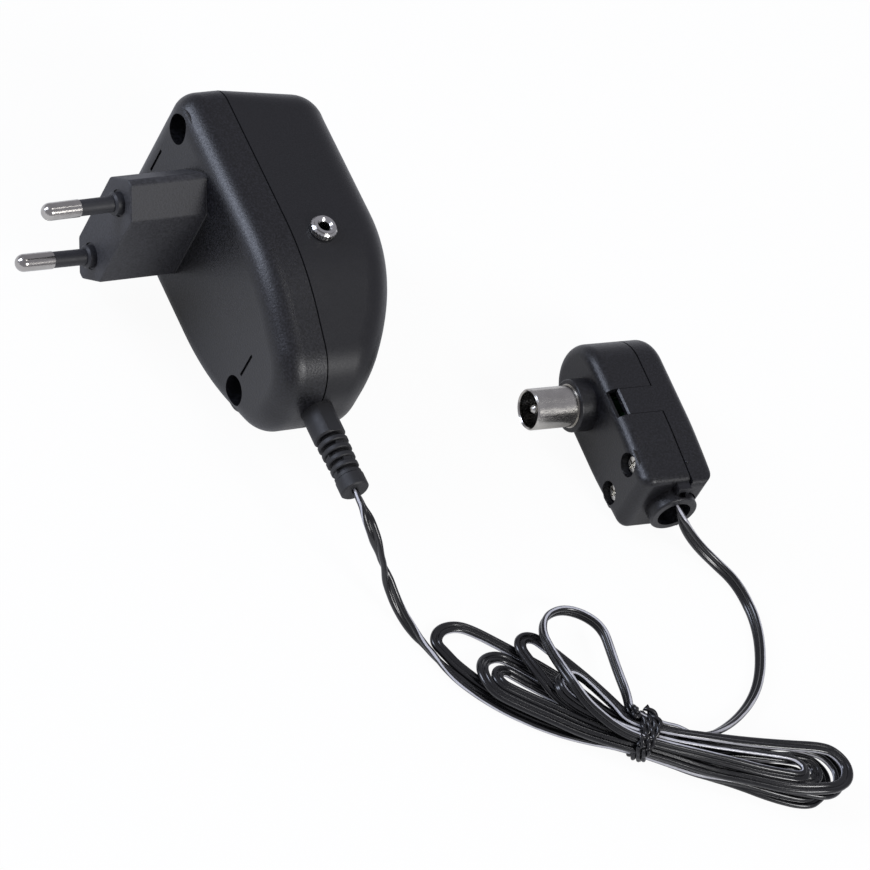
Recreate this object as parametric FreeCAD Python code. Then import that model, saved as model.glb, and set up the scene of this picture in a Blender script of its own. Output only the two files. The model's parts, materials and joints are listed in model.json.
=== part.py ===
import FreeCAD
import Part

import math
import os

# Plug-in mains supply for a mast aerial amplifier, with its aerial plug on a twin flex.
# The wall unit lies on its side wall as it does on a table. X runs from the mains pins to
# the front of the casing, Y from the cord end to the top, and Z points up.
# The origin is the middle of the base of the two housings' box.
# Wall unit sizes are first given from the middle of the mains plug's face.

V = FreeCAD.Vector
X_AXIS = V(1, 0, 0)
Y_AXIS = V(0, 1, 0)
Z_AXIS = V(0, 0, 1)

# mains plug, flat two-pin type
pin_radius = 2.0
pin_core_radius = 1.45
pin_length = 19.0
pin_bare_length = 9.0
pin_spacing = 19.0
pin_lean = 1.2
pin_sleeve_radius = 1.84
pin_grip_depth = 8.0
pin_root_radius = 2.6
pin_root_length = 1.8
pin_recess_depth = 0.3
block_height = 33.4
block_width = 13.0
block_side_height = 21.4
block_corner = 1.2
block_tip_half = 0.8
block_tip_corner = 0.9
block_cove = 0.3

# casing of the wall unit
case_half = 21.3
case_top = 22.2
case_tip = -54.6
case_taper_start = -29.0
case_tip_half = 10.9
case_top_corner = 6.0
case_taper_radius = 60.0
case_tip_radius = 13.0
back_plate_x = 19.2
parting_x = 30.4
front_x = 55.5
front_top = 19.2
front_flat_end = -16.0
front_curve_radius = 56.0
front_top_corner = 9.0
front_rim_radius = 8.0
back_rim_radius = 5.5
seam_width = 0.35
seam_depth = 0.35
case_wall = 2.3
lip_thickness = 0.9
lip_height = 1.6
fit_gap = 0.1

# screws of the wall unit
case_screws = [(14.6, 14.6), (-40.3, -9.4)]
screw_well_radius = 3.5
screw_post_radius = 4.9
screw_head_radius = 2.9
screw_shank_radius = 1.5
screw_seat_x = 27.4
screw_length = 12.0
slit_length = 7.2
slit_width = 0.7
slit_depth = 0.6
slit_places = [(16.0, 1.8), (-39.8, -0.8)]

# output socket in the side wall
jack_x = 38.0
jack_y = -21.4
jack_bore_radius = 1.3
jack_thread_radius = 2.5
jack_flange_radius = 3.6
jack_nut_radius = 3.1
jack_nut_height = 1.5
jack_depth = 13.0
jack_body_side = 8.6
jack_spring_length = 15.5

# strain relief at the tip
relief_neck_radius = 3.7
relief_neck_end = -62.3
relief_rib_count = 5
relief_first_rib_radius = 3.55
relief_last_rib_radius = 3.15
relief_core_radius = 2.3
relief_collar_radius = 3.3
relief_end = -76.4

# circuit board
board_x = 25.0
board_thickness = 1.6

# transformer
core_height = 26.0
core_width = 30.0
core_stack = 12.0
core_leg = 9.0
core_window_height = 16.0
core_window_width = 5.4
core_x = 37.4
core_y = -3.5

# aerial plug, measured from the middle of its mouth: a runs into the plug, b to its round
# end and h up
plug_half = 10.0
plug_place = V(90.8, -54.53, plug_half - case_half)
plug_turn = -2.5
plug_face_a = 15.0
plug_parting_a = 26.9
plug_rear_a = 34.3
plug_round_b = 4.4
plug_end_b = -28.8
plug_cover_end_b = -30.0
plug_taper_b = -14.0
plug_end_half = 8.9
plug_wall = 1.6
plug_face_edge = 3.0
plug_rear_edge = 3.0
sleeve_radius = 4.75
sleeve_root_radius = 5.05
sleeve_inner_radius = 4.15
sleeve_free_length = 10.7
centre_pin_radius = 1.2
boss_radius = 6.1
collar_a = 25.1
collar_radius = 5.7
collar_bore_radius = 4.0
collar_end_b = -32.0
latch_low_b = -10.4
latch_high_b = -3.2
latch_window_a = 15.5
latch_tip_a = 18.0
plug_screw_b = -21.0
plug_screw_h = 5.4
plug_screw_seat_a = 17.8
plug_screw_length = 8.4
plug_screw_head_radius = 2.5
plug_screw_well_radius = 2.8
plug_screw_shank_radius = 1.45

# twin flex, laid on the surface and gathered in a hank with a twist tie at its waist
cord_radius = 1.1
cord_rest = -case_half + cord_radius + 0.1
hank_waist = V(82.7, -139.2, 0)
hank_left_turn = 143.0
hank_right_turn = -23.0
hank_pitch = 2.66
hank_rise = 2.6
hank_waist_lift = 1.75
hank_waist_reach = 4.5
hank_gap = 2.95
hank_rounds = 90
loop_stations = (0.3, 0.55, 0.8)
loop_end_turns = (82, 53, 19, -19, -53, -82)
tie_radius = 0.6
tie_turns = 3
tie_pitch = 1.5

# from the mains plug's face to the part's origin
frame_shift = V(-53.4, 32.81, case_half)


# plain shapes

def box(low, high):
    """Box between two corners."""
    return Part.makeBox(high[0] - low[0], high[1] - low[1], high[2] - low[2], V(*low))


def rod(radius, start, end):
    """Round bar between two points."""
    way = end - start
    return Part.makeCylinder(radius, way.Length, start, way)


def tube(outer, inner, start, end):
    """Round tube between two points."""
    return rod(outer, start, end).cut(rod(inner, start, end))


def turned(profile, start, way):
    """Solid of revolution from (radius, distance along the way) points."""
    side = V(0, 0, 1) if abs(way.z) < 0.9 else V(1, 0, 0)
    across = side.cross(way).normalize()
    points = [start + across * radius + way * along for radius, along in profile]
    face = Part.Face(Part.makePolygon(points + [points[0]]))
    return face.revolve(start, way, 360)


def joined(shapes):
    """One solid out of overlapping shapes."""
    whole = shapes[0].multiFuse(shapes[1:]) if len(shapes) > 1 else shapes[0]
    return whole.removeSplitter()


def without(shape, cutters):
    """A shape with several cutters taken out of it."""
    return shape.cut(Part.makeCompound(cutters)) if cutters else shape


def rounded_loop(corners, place):
    """Closed wire of lines and tangent arcs. A corner is (u, v, radius)."""
    count = len(corners)
    flat = [V(u, v, 0) for u, v, radius in corners]
    stretches = []
    for i in range(count):
        here = flat[i]
        back = (flat[i - 1] - here).normalize()
        ahead = (flat[(i + 1) % count] - here).normalize()
        radius = corners[i][2]
        if radius == 0:
            stretches.append((here, here, here))
            continue
        half = back.getAngle(ahead) / 2
        reach = radius / math.tan(half)
        middle = (back + ahead).normalize()
        bow = here + middle * (radius / math.sin(half) - radius)
        stretches.append((here + back * reach, bow, here + ahead * reach))
    edges = []
    for i in range(count):
        first, bow, last = [place(point) for point in stretches[i]]
        following = place(stretches[(i + 1) % count][0])
        if (last - first).Length > 1e-6:
            edges.append(Part.Arc(first, bow, last).toShape())
        if (following - last).Length > 1e-6:
            edges.append(Part.LineSegment(last, following).toShape())
    return Part.Wire(edges)


def edges_where(shape, test):
    """Edges of a shape whose middle point passes a test."""
    return [edge for edge in shape.Edges if test(edge.CenterOfMass)]


# outlines of the wall unit, seen along X

def case_outline(x, top, inset=0.0, corner=case_top_corner):
    """Casing outline, wide at the top and drawn in to the cord end."""
    half = case_half - inset
    tip = case_tip + inset
    tip_half = case_tip_half - 0.68 * inset
    taper = case_taper_start + 0.19 * inset
    top_radius = corner - inset
    tip_radius = case_tip_radius - inset
    taper_radius = case_taper_radius - inset
    corners = [
        (top - inset, half, top_radius),
        (top - inset, -half, top_radius),
        (taper, -half, taper_radius),
        (tip, -tip_half, tip_radius),
        (tip, tip_half, tip_radius),
        (taper, half, taper_radius),
    ]
    return rounded_loop(corners, lambda point: V(x, point.x, point.y))


def case_prism(x0, x1, inset=0.0):
    """Straight casing body between two X planes."""
    face = Part.Face(case_outline(x0, case_top, inset))
    return face.extrude(V(x1 - x0, 0, 0))


def front_body(inset=0.0):
    """Front half of the casing: leaning top wall, curved lower front and round rim."""
    face_x = front_x - inset
    low = case_outline(parting_x, case_top, inset)
    high = case_outline(face_x + 1.0, front_top, inset, front_top_corner)
    body = Part.makeLoft([low, high], True, True)
    radius = front_curve_radius - inset
    drop = case_tip - 5.0 - front_flat_end
    turn = math.asin(-drop / radius)
    middle = V(face_x - radius, front_flat_end, 0)
    bow = middle + V(radius * math.cos(turn / 2), -radius * math.sin(turn / 2), 0)
    foot = middle + V(radius * math.cos(turn), -radius * math.sin(turn), 0)
    start = V(face_x, front_flat_end, 0)
    top_point = V(face_x, case_top + 5, 0)
    base_top = V(parting_x - 1, case_top + 5, 0)
    base_foot = V(parting_x - 1, foot.y, 0)
    edges = [
        Part.LineSegment(base_top, top_point).toShape(),
        Part.LineSegment(top_point, start).toShape(),
        Part.Arc(start, bow, foot).toShape(),
        Part.LineSegment(foot, base_foot).toShape(),
        Part.LineSegment(base_foot, base_top).toShape(),
    ]
    side = Part.Face(Part.Wire(edges))
    side.translate(V(0, 0, -30))
    body = body.common(side.extrude(V(0, 0, 60)))
    rim_radius = front_rim_radius - inset
    rim = [edge for edge in body.Edges if is_rim_edge(edge, face_x, radius)]
    return body.makeFillet(rim_radius, rim)


def front_surface_x(y, face_x, radius):
    """X of the front surface at a height y."""
    if y >= front_flat_end:
        return face_x
    drop = front_flat_end - y
    return face_x - radius + math.sqrt(radius * radius - drop * drop)


def is_rim_edge(edge, face_x, radius):
    """True for the edges where the side walls meet the front surface."""
    for part in (0.1, 0.5, 0.9):
        first, last = edge.ParameterRange
        point = edge.valueAt(first + (last - first) * part)
        if abs(point.x - front_surface_x(point.y, face_x, radius)) > 0.01:
            return False
    ends = [vertex.Point for vertex in edge.Vertexes]
    across = abs(ends[0].y - front_flat_end) < 0.01 and abs(ends[-1].y - front_flat_end) < 0.01
    return not across


# wall unit, casing

def seam_groove(prism, start):
    """Shallow groove that marks the parting line round a housing."""
    outer = prism(start, start + seam_width, -1.0)
    return outer.cut(prism(start - 1, start + seam_width + 1, seam_depth))


def block_outline(x, inset=0.0):
    """Outline of the flat two-pin plug: six sides with rounded corners."""
    high = block_height / 2 - inset * 1.1
    side = block_side_height / 2 - inset * 0.5
    half = block_width / 2 - inset
    corner = block_corner - min(inset, block_corner - 0.5)
    tip_half = block_tip_half
    tip_corner = block_tip_corner
    corners = [
        (half, side, corner),
        (tip_half, high, tip_corner),
        (-tip_half, high, tip_corner),
        (-half, side, corner),
        (-half, -side, corner),
        (-tip_half, -high, tip_corner),
        (tip_half, -high, tip_corner),
        (half, -side, corner),
    ]
    return rounded_loop(corners, lambda point: V(x, point.x, point.y))


def plug_block():
    """Plug body on the back plate, with a pocket behind the pins."""
    face = Part.Face(block_outline(0))
    block = face.extrude(V(back_plate_x + case_wall, 0, 0))
    block = block.makeFillet(0.5, edges_where(block, lambda c: c.x < 0.01))
    pocket = Part.Face(block_outline(pin_grip_depth, 2.3))
    pocket = pocket.extrude(V(back_plate_x + case_wall + 1 - pin_grip_depth, 0, 0))
    return block, pocket


def pin_line(side, x):
    """Point on the axis of a leaning mains pin."""
    lean = math.radians(pin_lean)
    z = side * (pin_spacing / 2 + x * math.tan(lean))
    return V(x, 0, z)


def pin_way(side):
    """Direction of a mains pin towards its tip."""
    return (pin_line(side, -1) - pin_line(side, 0)).normalize()


def back_cover():
    """Back half of the casing with the plug block and two screw wells."""
    body = case_prism(back_plate_x, parting_x)
    body = body.makeFillet(back_rim_radius, edges_where(body, lambda c: c.x < back_plate_x + 0.01))
    body = body.cut(case_prism(back_plate_x + case_wall, parting_x + 1, case_wall))
    ledge = case_wall - lip_thickness - fit_gap
    body = body.cut(case_prism(parting_x - lip_height - fit_gap, parting_x + 1, ledge))
    block, pocket = plug_block()
    added = [block, cove_ring()]
    for y, z in case_screws:
        added.append(rod(screw_post_radius, V(back_plate_x + 1, y, z), V(screw_seat_x + 2, y, z)))
    for z in (-12.4, 12.4):
        added.append(box((back_plate_x + 1, core_y - 10, z - 1),
                         (core_x - core_stack / 2, core_y + 9, z + 1)))
    for z in (-14, 14):
        added.append(rod(2.0, V(back_plate_x + 1, -25, z), V(board_x, -25, z)))
    solid = joined([body] + added).cut(seam_groove(case_prism, parting_x - seam_width))
    for z in (-12.4, 12.4):
        pocket = pocket.cut(box((back_plate_x, core_y - 11, z - 1), (40, core_y + 10, z + 1)))
    cuts = [pocket]
    for y, z in case_screws:
        cuts.append(rod(screw_well_radius, V(back_plate_x - 5, y, z), V(screw_seat_x, y, z)))
        cuts.append(rod(screw_shank_radius + 0.2, V(screw_seat_x - 1, y, z), V(parting_x + 1, y, z)))
    for y, z in slit_places:
        half = slit_length / 2
        cuts.append(box((back_plate_x - 1, y - slit_width / 2, z - half),
                        (back_plate_x + slit_depth, y + slit_width / 2, z + half)))
    for side in (-1, 1):
        way = pin_way(side)
        base = pin_line(side, 0)
        cuts.append(rod(pin_root_radius + 0.5, base + way, base - way * pin_recess_depth))
        cuts.append(rod(pin_sleeve_radius, base + way, base - way * 4))
        cuts.append(rod(2.6, base - way * 4, base - way * (pin_grip_depth - 1)))
        cuts.append(rod(1.3, base - way * 6, base - way * (pin_grip_depth + 3)))
    hole = relief_neck_radius + 0.05
    cuts.append(rod(hole, V(parting_x, case_tip - 5, 0), V(parting_x, case_tip + 6, 0)))
    return without(solid, cuts)


def cove_ring():
    """Hollow curve between the plug block and the back plate."""
    low = block_outline(back_plate_x - block_cove, 0.01)
    high = block_outline(back_plate_x + 0.5, -block_cove)
    return Part.makeLoft([low, high], True, True)


def front_housing():
    """Front half of the casing, with its lip, screw bosses and socket hole."""
    outer = front_body()
    body = outer.cut(front_body(case_wall))
    lip = case_prism(parting_x - lip_height, parting_x + 0.5, case_wall - lip_thickness)
    lip = lip.cut(case_prism(parting_x - lip_height - 1, parting_x + 1, case_wall))
    for y, z in case_screws:
        lip = lip.cut(rod(screw_post_radius + 0.1, V(parting_x - lip_height - 1, y, z), V(parting_x, y, z)))
    seat = rod(jack_nut_radius, V(jack_x, jack_y, case_half - 1.5), V(jack_x, jack_y, case_half))
    added = [lip, seat]
    core_front = core_x + core_stack / 2
    for y, z in case_screws:
        boss = rod(3.6, V(screw_seat_x + 2, y, z), V(front_x, y, z))
        added.append(boss.common(outer_reach()))
    for z in (-12.4, 12.4):
        rib = box((core_front, core_y - 10, z - 1), (front_x, core_y + 9, z + 1))
        added.append(rib.common(outer_reach()))
    solid = joined([body] + added)
    cuts = [rod(jack_thread_radius + 0.05, V(jack_x, jack_y, case_half - 5),
                V(jack_x, jack_y, case_half + 1)),
            rod(jack_flange_radius + 0.1, V(jack_x, jack_y, case_half - case_wall - 1.5),
                V(jack_x, jack_y, case_half - case_wall))]
    for y, z in case_screws:
        depth = screw_seat_x + screw_length + 1
        cuts.append(rod(screw_shank_radius + 0.02, V(screw_seat_x, y, z), V(depth, y, z)))
    hole = relief_neck_radius + 0.05
    cuts.append(rod(hole, V(parting_x, case_tip - 5, 0), V(parting_x, case_tip + 6, 0)))
    return without(solid, cuts)


def outer_reach():
    """Space just under the skin of the whole casing."""
    return joined([front_body(1.2), case_prism(back_plate_x + 1, parting_x + 0.01, 1.2)])


# wall unit, mains pins and fasteners

def mains_pins():
    """Two metal pins: bare round tip, thinner core in the sleeve, collar in the block."""
    pins = []
    bare = pin_length - pin_bare_length
    shoulder = pin_grip_depth - 1
    profile = [(0, pin_length)]
    for i in range(1, 9):
        turn = math.radians(90 * i / 8)
        profile.append((pin_radius * math.sin(turn), pin_length - pin_radius * (1 - math.cos(turn))))
    profile += [(pin_radius, bare), (pin_core_radius, bare), (pin_core_radius, -4), (2.6, -4),
                (2.6, -shoulder), (1.3, -shoulder), (1.3, -pin_grip_depth - 2.5),
                (0, -pin_grip_depth - 2.5)]
    for side in (-1, 1):
        pins.append(turned(profile, pin_line(side, 0), pin_way(side)))
    return pins


def pin_sleeves():
    """Insulating sleeves on the root half of the pins, each with a thicker ring at its root."""
    bare = pin_length - pin_bare_length
    ring = pin_root_radius
    profile = [(pin_core_radius, -4), (pin_sleeve_radius, -4), (pin_sleeve_radius, -pin_recess_depth),
               (ring, -pin_recess_depth), (ring, pin_root_length - 0.5), (ring - 0.4, pin_root_length),
               (pin_sleeve_radius, pin_root_length), (pin_sleeve_radius, bare), (pin_core_radius, bare)]
    return [turned(profile, pin_line(side, 0), pin_way(side)) for side in (-1, 1)]


def pin_tabs():
    """Brass tags riveted to the inner ends of the pins."""
    tabs = []
    for side in (-1, 1):
        way = pin_way(side)
        end = pin_line(side, 0) - way * (pin_grip_depth + 2.5)
        disc = rod(2.2, end, end - way * 0.5)
        low, high = sorted((side * 9.3, side * 9.8))
        strip = box((end.x + 0.3, -1.5, low), (24.0, 1.5, high))
        tabs.append(joined([disc, strip]))
    return tabs


def pan_screw(start, way, head_radius, head_height, shank_radius, length):
    """Cross-recessed pan head screw. The head's underside is at the start point."""
    rim = head_height * 0.55
    profile = [(0, head_height), (head_radius * 0.72, head_height * 0.93), (head_radius, rim),
               (head_radius, 0), (shank_radius, 0), (shank_radius, -length + 1.0),
               (shank_radius * 0.35, -length), (0, -length)]
    screw = turned(profile, start, way)
    side = V(0, 0, 1) if abs(way.z) < 0.9 else V(1, 0, 0)
    across = side.cross(way).normalize()
    slots = []
    for arm in (side, across):
        other = way.cross(arm)
        reach = head_radius * 0.6
        width = head_radius * 0.13
        corners = [start + way * (head_height * 0.35) + arm * u + other * v
                   for u, v in ((-reach, -width), (reach, -width), (reach, width), (-reach, width))]
        face = Part.Face(Part.makePolygon(corners + [corners[0]]))
        slots.append(face.extrude(way * head_height))
    return without(screw, slots)


def housing_screws():
    """Two long screws deep in the wells of the back cover."""
    return [pan_screw(V(screw_seat_x, y, z), V(-1, 0, 0), screw_head_radius, 2.0,
                      screw_shank_radius, screw_length) for y, z in case_screws]


# wall unit, transformer

def transformer_core():
    """Laminated core with two windows round its middle leg."""
    x0 = core_x - core_stack / 2
    x1 = core_x + core_stack / 2
    core = box((x0, core_y - core_height / 2, -core_width / 2),
               (x1, core_y + core_height / 2, core_width / 2))
    half = core_window_height / 2
    cuts = []
    for side in (-1, 1):
        low, high = sorted((side * core_leg / 2, side * (core_leg / 2 + core_window_width)))
        cuts.append(box((x0 - 1, core_y - half, low), (x1 + 1, core_y + half, high)))
    notch = core_height / 2
    for y in (core_y - notch, core_y + notch):
        for z in (-core_width / 2, core_width / 2):
            cuts.append(rod(1.0, V(x0 - 1, y, z), V(x1 + 1, y, z)))
    return without(core, cuts)


def spool_ring(y0, y1, outer_x, outer_z, inner_x, inner_z, corner):
    """Rectangular ring round the middle leg between two heights."""
    def loop(half_x, half_z, radius):
        corners = [(half_x, half_z, radius), (half_x, -half_z, radius),
                   (-half_x, -half_z, radius), (-half_x, half_z, radius)]
        return rounded_loop(corners, lambda point: V(core_x + point.x, y0, point.y))
    outer = Part.Face(loop(outer_x, outer_z, corner)).extrude(V(0, y1 - y0, 0))
    inner = Part.Face(loop(inner_x, inner_z, 0)).extrude(V(0, y1 - y0, 0))
    return outer.cut(inner)


def bobbin_pin_rods():
    """Four soldering pins in the bobbin's flanges."""
    rods = []
    for y in (core_y - 7.1, core_y + 7.1):
        for z in (-7.0, 7.0):
            rods.append(rod(0.4, V(core_x - 13.5, y, z), V(core_x - 8.5, y, z)))
    return rods


def transformer_bobbin():
    """Spool with end flanges and a wall between the two windings."""
    leg_x = core_stack / 2 + 0.1
    leg_z = core_leg / 2 + 0.1
    sleeve = spool_ring(core_y - 7.9, core_y + 7.9, leg_x + 0.8, leg_z + 0.8, leg_x, leg_z, 0.3)
    rings = [spool_ring(y0, y1, 10.8, 9.8, leg_x, leg_z, 1.5) for y0, y1 in
             ((core_y - 7.9, core_y - 6.3), (core_y - 0.5, core_y + 0.5), (core_y + 6.3, core_y + 7.9))]
    return without(joined([sleeve] + rings), bobbin_pin_rods())


def winding(y0, y1):
    """One wound block between two flanges."""
    return spool_ring(y0, y1, 10.1, 9.0, core_stack / 2 + 0.9, core_leg / 2 + 0.9, 3.0)


# wall unit, board and output

def circuit_board():
    """Rectifier board on two posts of the back cover."""
    board = box((board_x, -34.2, -16.2), (board_x + board_thickness, -15, 16.2))
    cuts = [rod(0.45, V(board_x - 1, y, z), V(board_x + 3, y, z)) for y in (-17, -32.5) for z in (-15, 15)]
    return without(board, cuts)


def rectifier_diodes():
    """Four diodes side by side, with their leads bent into the board."""
    top = board_x + board_thickness
    diodes = []
    for z in (1.5, 5.0, 8.5, 12.0):
        x = top + 1.3
        body = rod(1.3, V(x, -24.5, z), V(x, -19.5, z))
        wire = rod(0.35, V(x, -26.5, z), V(x, -17.5, z))
        legs = [rod(0.35, V(top, y, z), V(x, y, z)) for y in (-26.5, -17.5)]
        diodes.append(joined([body, wire] + legs))
    return diodes


def filter_capacitor():
    """Tall round capacitor with a crimped groove."""
    top = board_x + board_thickness
    profile = [(0, 0), (4.6, 0), (5.0, 0.5), (5.0, 1.6), (4.6, 2.1), (5.0, 2.6), (5.0, 14.2),
               (4.6, 14.7), (0, 14.7)]
    return turned(profile, V(top, -24.5, -9.0), X_AXIS)


def voltage_regulator():
    """Regulator with a metal tab, standing on three legs."""
    top = board_x + board_thickness
    body = box((top + 2.2, -33.0, -2.0), (top + 9.8, -29.4, 7.6))
    tab = box((top + 6.0, -29.4, -2.0), (top + 15.0, -28.2, 7.6))
    tab = tab.cut(rod(1.7, V(top + 12.4, -30, 2.8), V(top + 12.4, -28, 2.8)))
    legs = [box((top, -31.5, z - 0.35), (top + 2.4, -31.0, z + 0.35)) for z in (0.26, 2.8, 5.34)]
    return joined([body, tab] + legs)


def jack_body():
    """Moulded socket body hanging from the side wall."""
    half = jack_body_side / 2
    top = case_half - case_wall - 0.8
    body = box((jack_x - half, jack_y - half, top - jack_depth), (jack_x + half, jack_y + half, top))
    bore = rod(jack_bore_radius + 0.3, V(jack_x, jack_y, top - jack_depth + 1.2),
               V(jack_x, jack_y, top + 1))
    slot = box((jack_x - half - 1, jack_y - 1.1, top - 9.5), (jack_x, jack_y + 1.1, top - 4.0))
    return without(body, [bore, slot])


def jack_bushing():
    """Flanged metal bushing that passes the wall."""
    top = case_half - case_wall
    flange = rod(jack_flange_radius, V(jack_x, jack_y, top - 0.8), V(jack_x, jack_y, top))
    neck = rod(jack_thread_radius, V(jack_x, jack_y, top - 0.8),
               V(jack_x, jack_y, case_half + jack_nut_height + 0.3))
    bore = rod(jack_bore_radius, V(jack_x, jack_y, top - 2), V(jack_x, jack_y, case_half + 4))
    mouth = Part.makeCone(jack_bore_radius, jack_bore_radius + 0.5, 0.5,
                          V(jack_x, jack_y, case_half + jack_nut_height - 0.2))
    return without(joined([flange, neck]), [bore, mouth])


def jack_nut():
    """Round nut with a knurled rim."""
    centre = V(jack_x, jack_y, case_half)
    profile = [(jack_thread_radius, 0), (jack_nut_radius, 0), (jack_nut_radius, jack_nut_height - 0.4),
               (jack_nut_radius - 0.4, jack_nut_height), (jack_thread_radius, jack_nut_height)]
    nut = turned(profile, centre, Z_AXIS)
    count = 24
    cuts = []
    for i in range(count):
        turn = 2 * math.pi * i / count
        place = centre + V(math.cos(turn), math.sin(turn), 0) * (jack_nut_radius + 0.12)
        cuts.append(rod(0.26, place - Z_AXIS, place + Z_AXIS * 3))
    return without(nut, cuts)


def jack_contacts():
    """Two springs of the socket: one in the side slot, one along the next face."""
    half = jack_body_side / 2
    top = case_half - case_wall - 0.8
    low = top - jack_spring_length
    tip = box((jack_x - half - 0.4, jack_y - 1.0, low), (jack_x - half, jack_y + 1.0, top - 2.0))
    ring = box((jack_x - 1.0, jack_y - half - 0.4, low), (jack_x + 1.0, jack_y - half, top - 0.3))
    return [tip, ring]


def route_edges(points):
    """Straight runs joined by tangent arcs as large as the runs allow."""
    edges = []
    start = points[0]
    radii = []
    for before, corner, after in zip(points, points[1:], points[2:]):
        back = before - corner
        ahead = after - corner
        half = back.getAngle(ahead) / 2
        reach = 0.45 * min(back.Length, ahead.Length)
        radius = reach * math.tan(half)
        back.normalize()
        ahead.normalize()
        first = corner + back * reach
        last = corner + ahead * reach
        bow = corner + (back + ahead).normalize() * (radius / math.sin(half) - radius)
        edges.append(Part.LineSegment(start, first).toShape())
        edges.append(Part.Arc(first, bow, last).toShape())
        radii.append(radius)
        start = last
    edges.append(Part.LineSegment(start, points[-1]).toShape())
    return edges, radii


def route_tube(points, radius):
    """Round tube along a route."""
    edges, radii = route_edges(points)
    path = Part.Wire(edges)
    way = points[1] - points[0]
    ring = Part.Wire(Part.makeCircle(radius, points[0], way))
    return path.makePipeShell([ring], True, False)


def primary_leads():
    """Wires from the pin tabs to the primary winding's soldering pins."""
    y = core_y - 7.1
    leads = []
    for side in (-1, 1):
        points = [V(23.0, -1.5, side * 9.55), V(22.9, -3.4, side * 9.5), V(22.5, y, side * 8.4),
                  V(22.5, y, side * 7.0), V(23.9, y, side * 7.0)]
        leads.append(route_tube(points, 0.5))
    return leads


def secondary_leads():
    """Wires from the secondary winding's soldering pins to the underside of the board."""
    y = core_y + 7.1
    leads = []
    for side in (-1, 1):
        points = [V(23.9, y, side * 7.0), V(22.4, y, side * 7.0), V(22.3, y - 3.0, side * 5.4),
                  V(22.3, -4.0, side * 4.4), V(22.3, -13.0, side * 4.0), V(22.6, -19.3, side * 4.6),
                  V(board_x, -19.3, side * 4.6)]
        leads.append(route_tube(points, 0.5))
    return leads


def output_leads():
    """Wires from the board to the two springs of the socket."""
    top = board_x + board_thickness
    half = jack_body_side / 2
    low = case_half - case_wall - 0.8 - jack_spring_length
    inner = [V(top, -21.5, -1.8), V(30.2, -21.5, -1.8), V(jack_x - half - 0.2, jack_y, -1.4),
             V(jack_x - half - 0.2, jack_y, low)]
    outer = [V(top, -27.2, -2.6), V(31.6, -27.0, -2.6), V(jack_x, jack_y - half - 0.2, -2.2),
             V(jack_x, jack_y - half - 0.2, low)]
    return [route_tube(inner, 0.5), route_tube(outer, 0.5)]


def cord_leads():
    """The flex's two conductors, from the strain relief to the board."""
    top = board_x + board_thickness
    first = [V(parting_x, case_tip + 3.8, -0.7), V(parting_x, -46.6, -0.7), V(29.4, -41.0, -3.0),
             V(29.2, -36.4, -3.3), V(28.7, -33.4, -3.3), V(top, -33.2, -3.3)]
    second = [V(parting_x, case_tip + 3.8, 0.7), V(parting_x, -46.6, 0.7), V(29.4, -41.0, 5.2),
              V(29.2, -36.4, 8.6), V(28.7, -33.4, 9.3), V(top, -33.2, 9.3)]
    return [route_tube(first, 0.5), route_tube(second, 0.5)]


def thermal_fuse():
    """Flat fuse taped against the primary winding."""
    x = core_x + 10.1
    body = box((x, core_y - 5.4, -4.0), (x + 2.2, core_y - 1.6, 4.0))
    return body.makeFillet(0.5, edges_where(body, lambda c: c.x > x + 2.1))


def cord_strain_relief():
    """Moulded relief with bending ribs, held by an inner flange behind the tip wall."""
    axis_start = V(parting_x, 0, 0)
    y = case_tip
    profile = [(0, -relief_end), (relief_collar_radius - 0.3, -relief_end),
               (relief_collar_radius, -relief_end - 0.3),
               (relief_collar_radius, -relief_end - 3.3)]
    rib_zone = -relief_end - 3.3 + relief_neck_end
    pitch = rib_zone / relief_rib_count
    start = -relief_neck_end
    outline = [(0, -y - 3.8), (4.6, -y - 3.8), (4.6, -y - 2.7), (relief_neck_radius, -y - 2.7),
               (relief_neck_radius, start - 0.4), (relief_neck_radius - 0.4, start),
               (relief_core_radius, start)]
    for i in range(relief_rib_count):
        share = i / (relief_rib_count - 1)
        radius = relief_first_rib_radius + (relief_last_rib_radius - relief_first_rib_radius) * share
        low = start + pitch * (i + 0.45)
        high = start + pitch * (i + 1)
        outline += [(relief_core_radius, low), (radius - 0.2, low), (radius, low + 0.2),
                    (radius, high - 0.2), (radius - 0.2, high)]
        outline.append((relief_core_radius, high))
    outline += profile[::-1]
    body = turned(outline, axis_start, V(0, -1, 0))
    cuts = []
    for side in (-1, 1):
        low, high = sorted((side * 3.35, side * 5.0))
        cuts.append(box((parting_x - 5, relief_neck_end, low), (parting_x + 5, case_tip - 0.2, high)))
    for i in range(relief_rib_count - 1):
        y0 = relief_neck_end - pitch * (i + 1.45)
        bridge = box((parting_x - 0.9, y0, -2.9), (parting_x + 0.9, y0 + pitch * 0.45, 2.9))
        turn = 90 * (i % 2)
        bridge.rotate(V(parting_x, y0, 0), Y_AXIS, turn)
        body = body.fuse(bridge)
    return without(body, cuts).removeSplitter()


# aerial plug, built in its own directions and then laid in place

def laid(shape):
    """A piece of the aerial plug turned and moved to where it lies."""
    placed = shape.copy()
    placed.rotate(V(0, 0, 0), Z_AXIS, plug_turn)
    placed.translate(plug_place)
    return placed


def laid_point(a, b, h):
    """Point of the aerial plug where it lies."""
    turn = math.radians(plug_turn)
    return plug_place + V(a * math.cos(turn) - b * math.sin(turn),
                          a * math.sin(turn) + b * math.cos(turn), h)


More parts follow.
